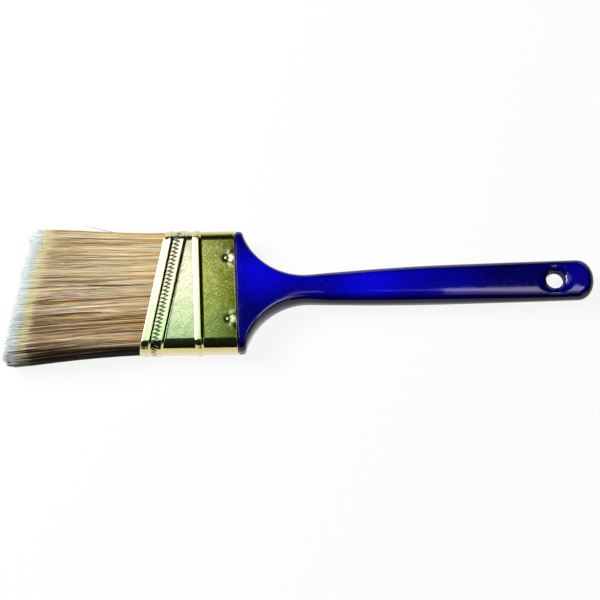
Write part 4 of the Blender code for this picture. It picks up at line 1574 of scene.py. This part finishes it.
@dataclass
class Studio:
    """White table with a cove and a wall round it, soft boxes in a dim room, and the camera."""

    table_rings: tuple[float, ...] = (0.0, 0.4, 1.5)
    table_radius: float = 6.0
    cove_radius: float = 0.5
    cove_steps: int = 9
    wall_height: float = 0.6
    tall_wall_height: float = 3.4
    tall_walls: tuple[Pair, ...] = ((38.0, 74.0), (90.3, 243.0), (295.0, 332.0))  # degrees from +X
    wall_steps: int = 288
    room: Stops = ((0.0, "#0e0e0e"), (0.45, "#161616"), (1.0, "#2c2c2c"))
    lamps: tuple[Lamp, ...] = (
        Lamp("key_box_left", (-1.16, 0.55, 1.0), (0.88, 1.0), 15.5),
        Lamp("fill_box_left", (-0.46, 0.35, 1.0), (0.52, 0.6), 1.5),
        Lamp("fill_box_over_mouth", (-0.1025, 0.305, 1.0), (0.045, 0.12), 1.9),
        Lamp("fill_box_over_end", (-0.0705, 0.305, 1.0), (0.033, 0.12), 1.5),
        Lamp("streak_box_right", (0.31, 0.14, 1.0), (0.22, 0.16), 5.5),
        Lamp("streak_box_front", (0.31, -0.11, 1.0), (0.22, 0.34), 1.5),
        Lamp("low_box_front", (0.31, -0.46, 1.0), (0.22, 0.36), 0.8),
        Lamp("streak_strip", (0.135, 0.19, 1.0), (0.13, 0.03), 1.5),
    )
    target: tuple[float, float, float] = (0.0, -5.56 * MM, 9.05 * MM)
    distance: float = 1.1414
    azimuth: float = math.radians(-4.481)
    elevation: float = math.radians(73.09)
    roll: float = math.radians(-2.354)
    focal_px: float = 2209.7
    image_px: int = 600
    sensor_mm: float = 36.0

    def build_table(self) -> None:
        """A profile of radius and height turned about Z: level table, quarter circle, upright wall.

        The wall is tall over some stretches, where the metal mirrors it in low views, and low elsewhere.
        """
        turn = np.linspace(0.0, np.pi / 2, self.cove_steps)
        cove = self.table_radius + self.cove_radius * np.sin(turn)
        edge = self.table_radius + self.cove_radius
        radius = np.concatenate([self.table_rings, cove, [edge]])
        level = np.zeros(len(self.table_rings))
        height = np.concatenate([level, self.cove_radius * (1 - np.cos(turn)), [self.wall_height]])
        angle = np.linspace(0.0, math.tau, self.wall_steps, endpoint=False)[::-1]
        x = radius[:, None] * np.cos(angle)
        y = radius[:, None] * np.sin(angle)
        z = np.repeat(height[:, None], len(angle), axis=1)
        heading = np.degrees(angle)
        tall = np.any([(heading > start) & (heading < end) for start, end in self.tall_walls], axis=0)
        z[-1] = np.where(tall, self.tall_wall_height, self.wall_height)
        skin = Skin.grid(np.stack([x, y, z], axis=-1), wrap_columns=True)
        table = Bench(np.zeros(3)).make("table_top", skin)
        table.data.materials.append(WhiteTable().make())
        LOG.info("%s: stage", table.name)

    def build_room(self) -> None:
        """Dim room: a grey that brightens from the horizon to the ceiling."""
        world = bpy.data.worlds.new("dim_room")
        bpy.context.scene.world = world
        world.use_nodes = True
        add = partial(add_node, world.node_tree)
        up = add("SeparateXYZ", {}, {"Vector": add("TexCoord").outputs["Generated"]})
        shade = add("ValToRGB", {"stops": self.room}, {"Fac": up.outputs["Z"]})
        settle(world.node_tree.nodes["Background"], {}, {"Color": shade.outputs["Color"]})

    def build_camera(self) -> None:
        """Camera at the photograph's angle: a distance back from its target, rolled about its own axis."""
        a, e, r = self.azimuth, self.elevation, self.roll
        back = Vector((math.sin(a) * math.cos(e), -math.cos(a) * math.cos(e), math.sin(e)))
        right = Vector((0.0, 1.0, 0.0)).cross(back).normalized()
        up = back.cross(right)
        right, up = right * math.cos(r) + up * math.sin(r), up * math.cos(r) - right * math.sin(r)
        data = bpy.data.cameras.new("photo_camera")
        data.sensor_width = self.sensor_mm
        data.lens = self.focal_px * self.sensor_mm / self.image_px
        camera = bpy.data.objects.new("photo_camera", data)
        turn = Matrix((right, up, back)).transposed().to_4x4()
        camera.matrix_world = Matrix.Translation(Vector(self.target) + back * self.distance) @ turn
        bpy.context.scene.collection.objects.link(camera)
        bpy.context.scene.camera = camera

    def build(self) -> None:
        """Sets up the whole studio."""
        self.build_camera()
        self.build_table()
        self.build_room()
        for lamp in self.lamps:
            lamp.build()
        bpy.context.scene.view_settings.view_transform = "Standard"


def dress_inside() -> None:
    """Gives the two CAD nodes inside the ferrule their own materials."""
    for node, finish in (("resin_setting", CastResin()), ("spacer_plug", SawnBasswood())):
        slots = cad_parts[node].material_slots
        slots[0].material = finish.make()
        LOG.info("%s: CAD node in %s", node, finish.name)


def main() -> None:
    """Builds the studio and every piece in order."""
    logging.basicConfig(level=logging.INFO, format="%(name)s: %(message)s")
    Studio().build()
    bench = Bench.from_frame()
    brass = BrassPlatedSteel().make()
    ferrule = Ferrule(bench)
    ferrule.build(brass)
    for face in Face:
        for end in End:
            Nail(bench, ferrule, face, end).build(brass)
    Handle(bench).build(MouldedPlastic().make(), ShadedBorePlastic().make())
    fibre = TaperedFilament().make()
    pack = FilamentPack(bench, ferrule)
    for bundle in (
        Bundle("bristles_front", 4500, (-1.0, 1.0), (0.18, 1.0), 1.8),
        Bundle("bristles_back", 4500, (-1.0, 1.0), (-0.18, -1.0), 1.8),
        Bundle("bristles_heel", 900, (0.84, 1.0), (-0.5, 0.5), 1.0, stray=True),
        Bundle("bristles_toe", 900, (-1.0, -0.84), (-0.5, 0.5), 1.0),
    ):
        pack.build(bundle, fibre)
    dress_inside()


if __name__ == "__main__":
    main()
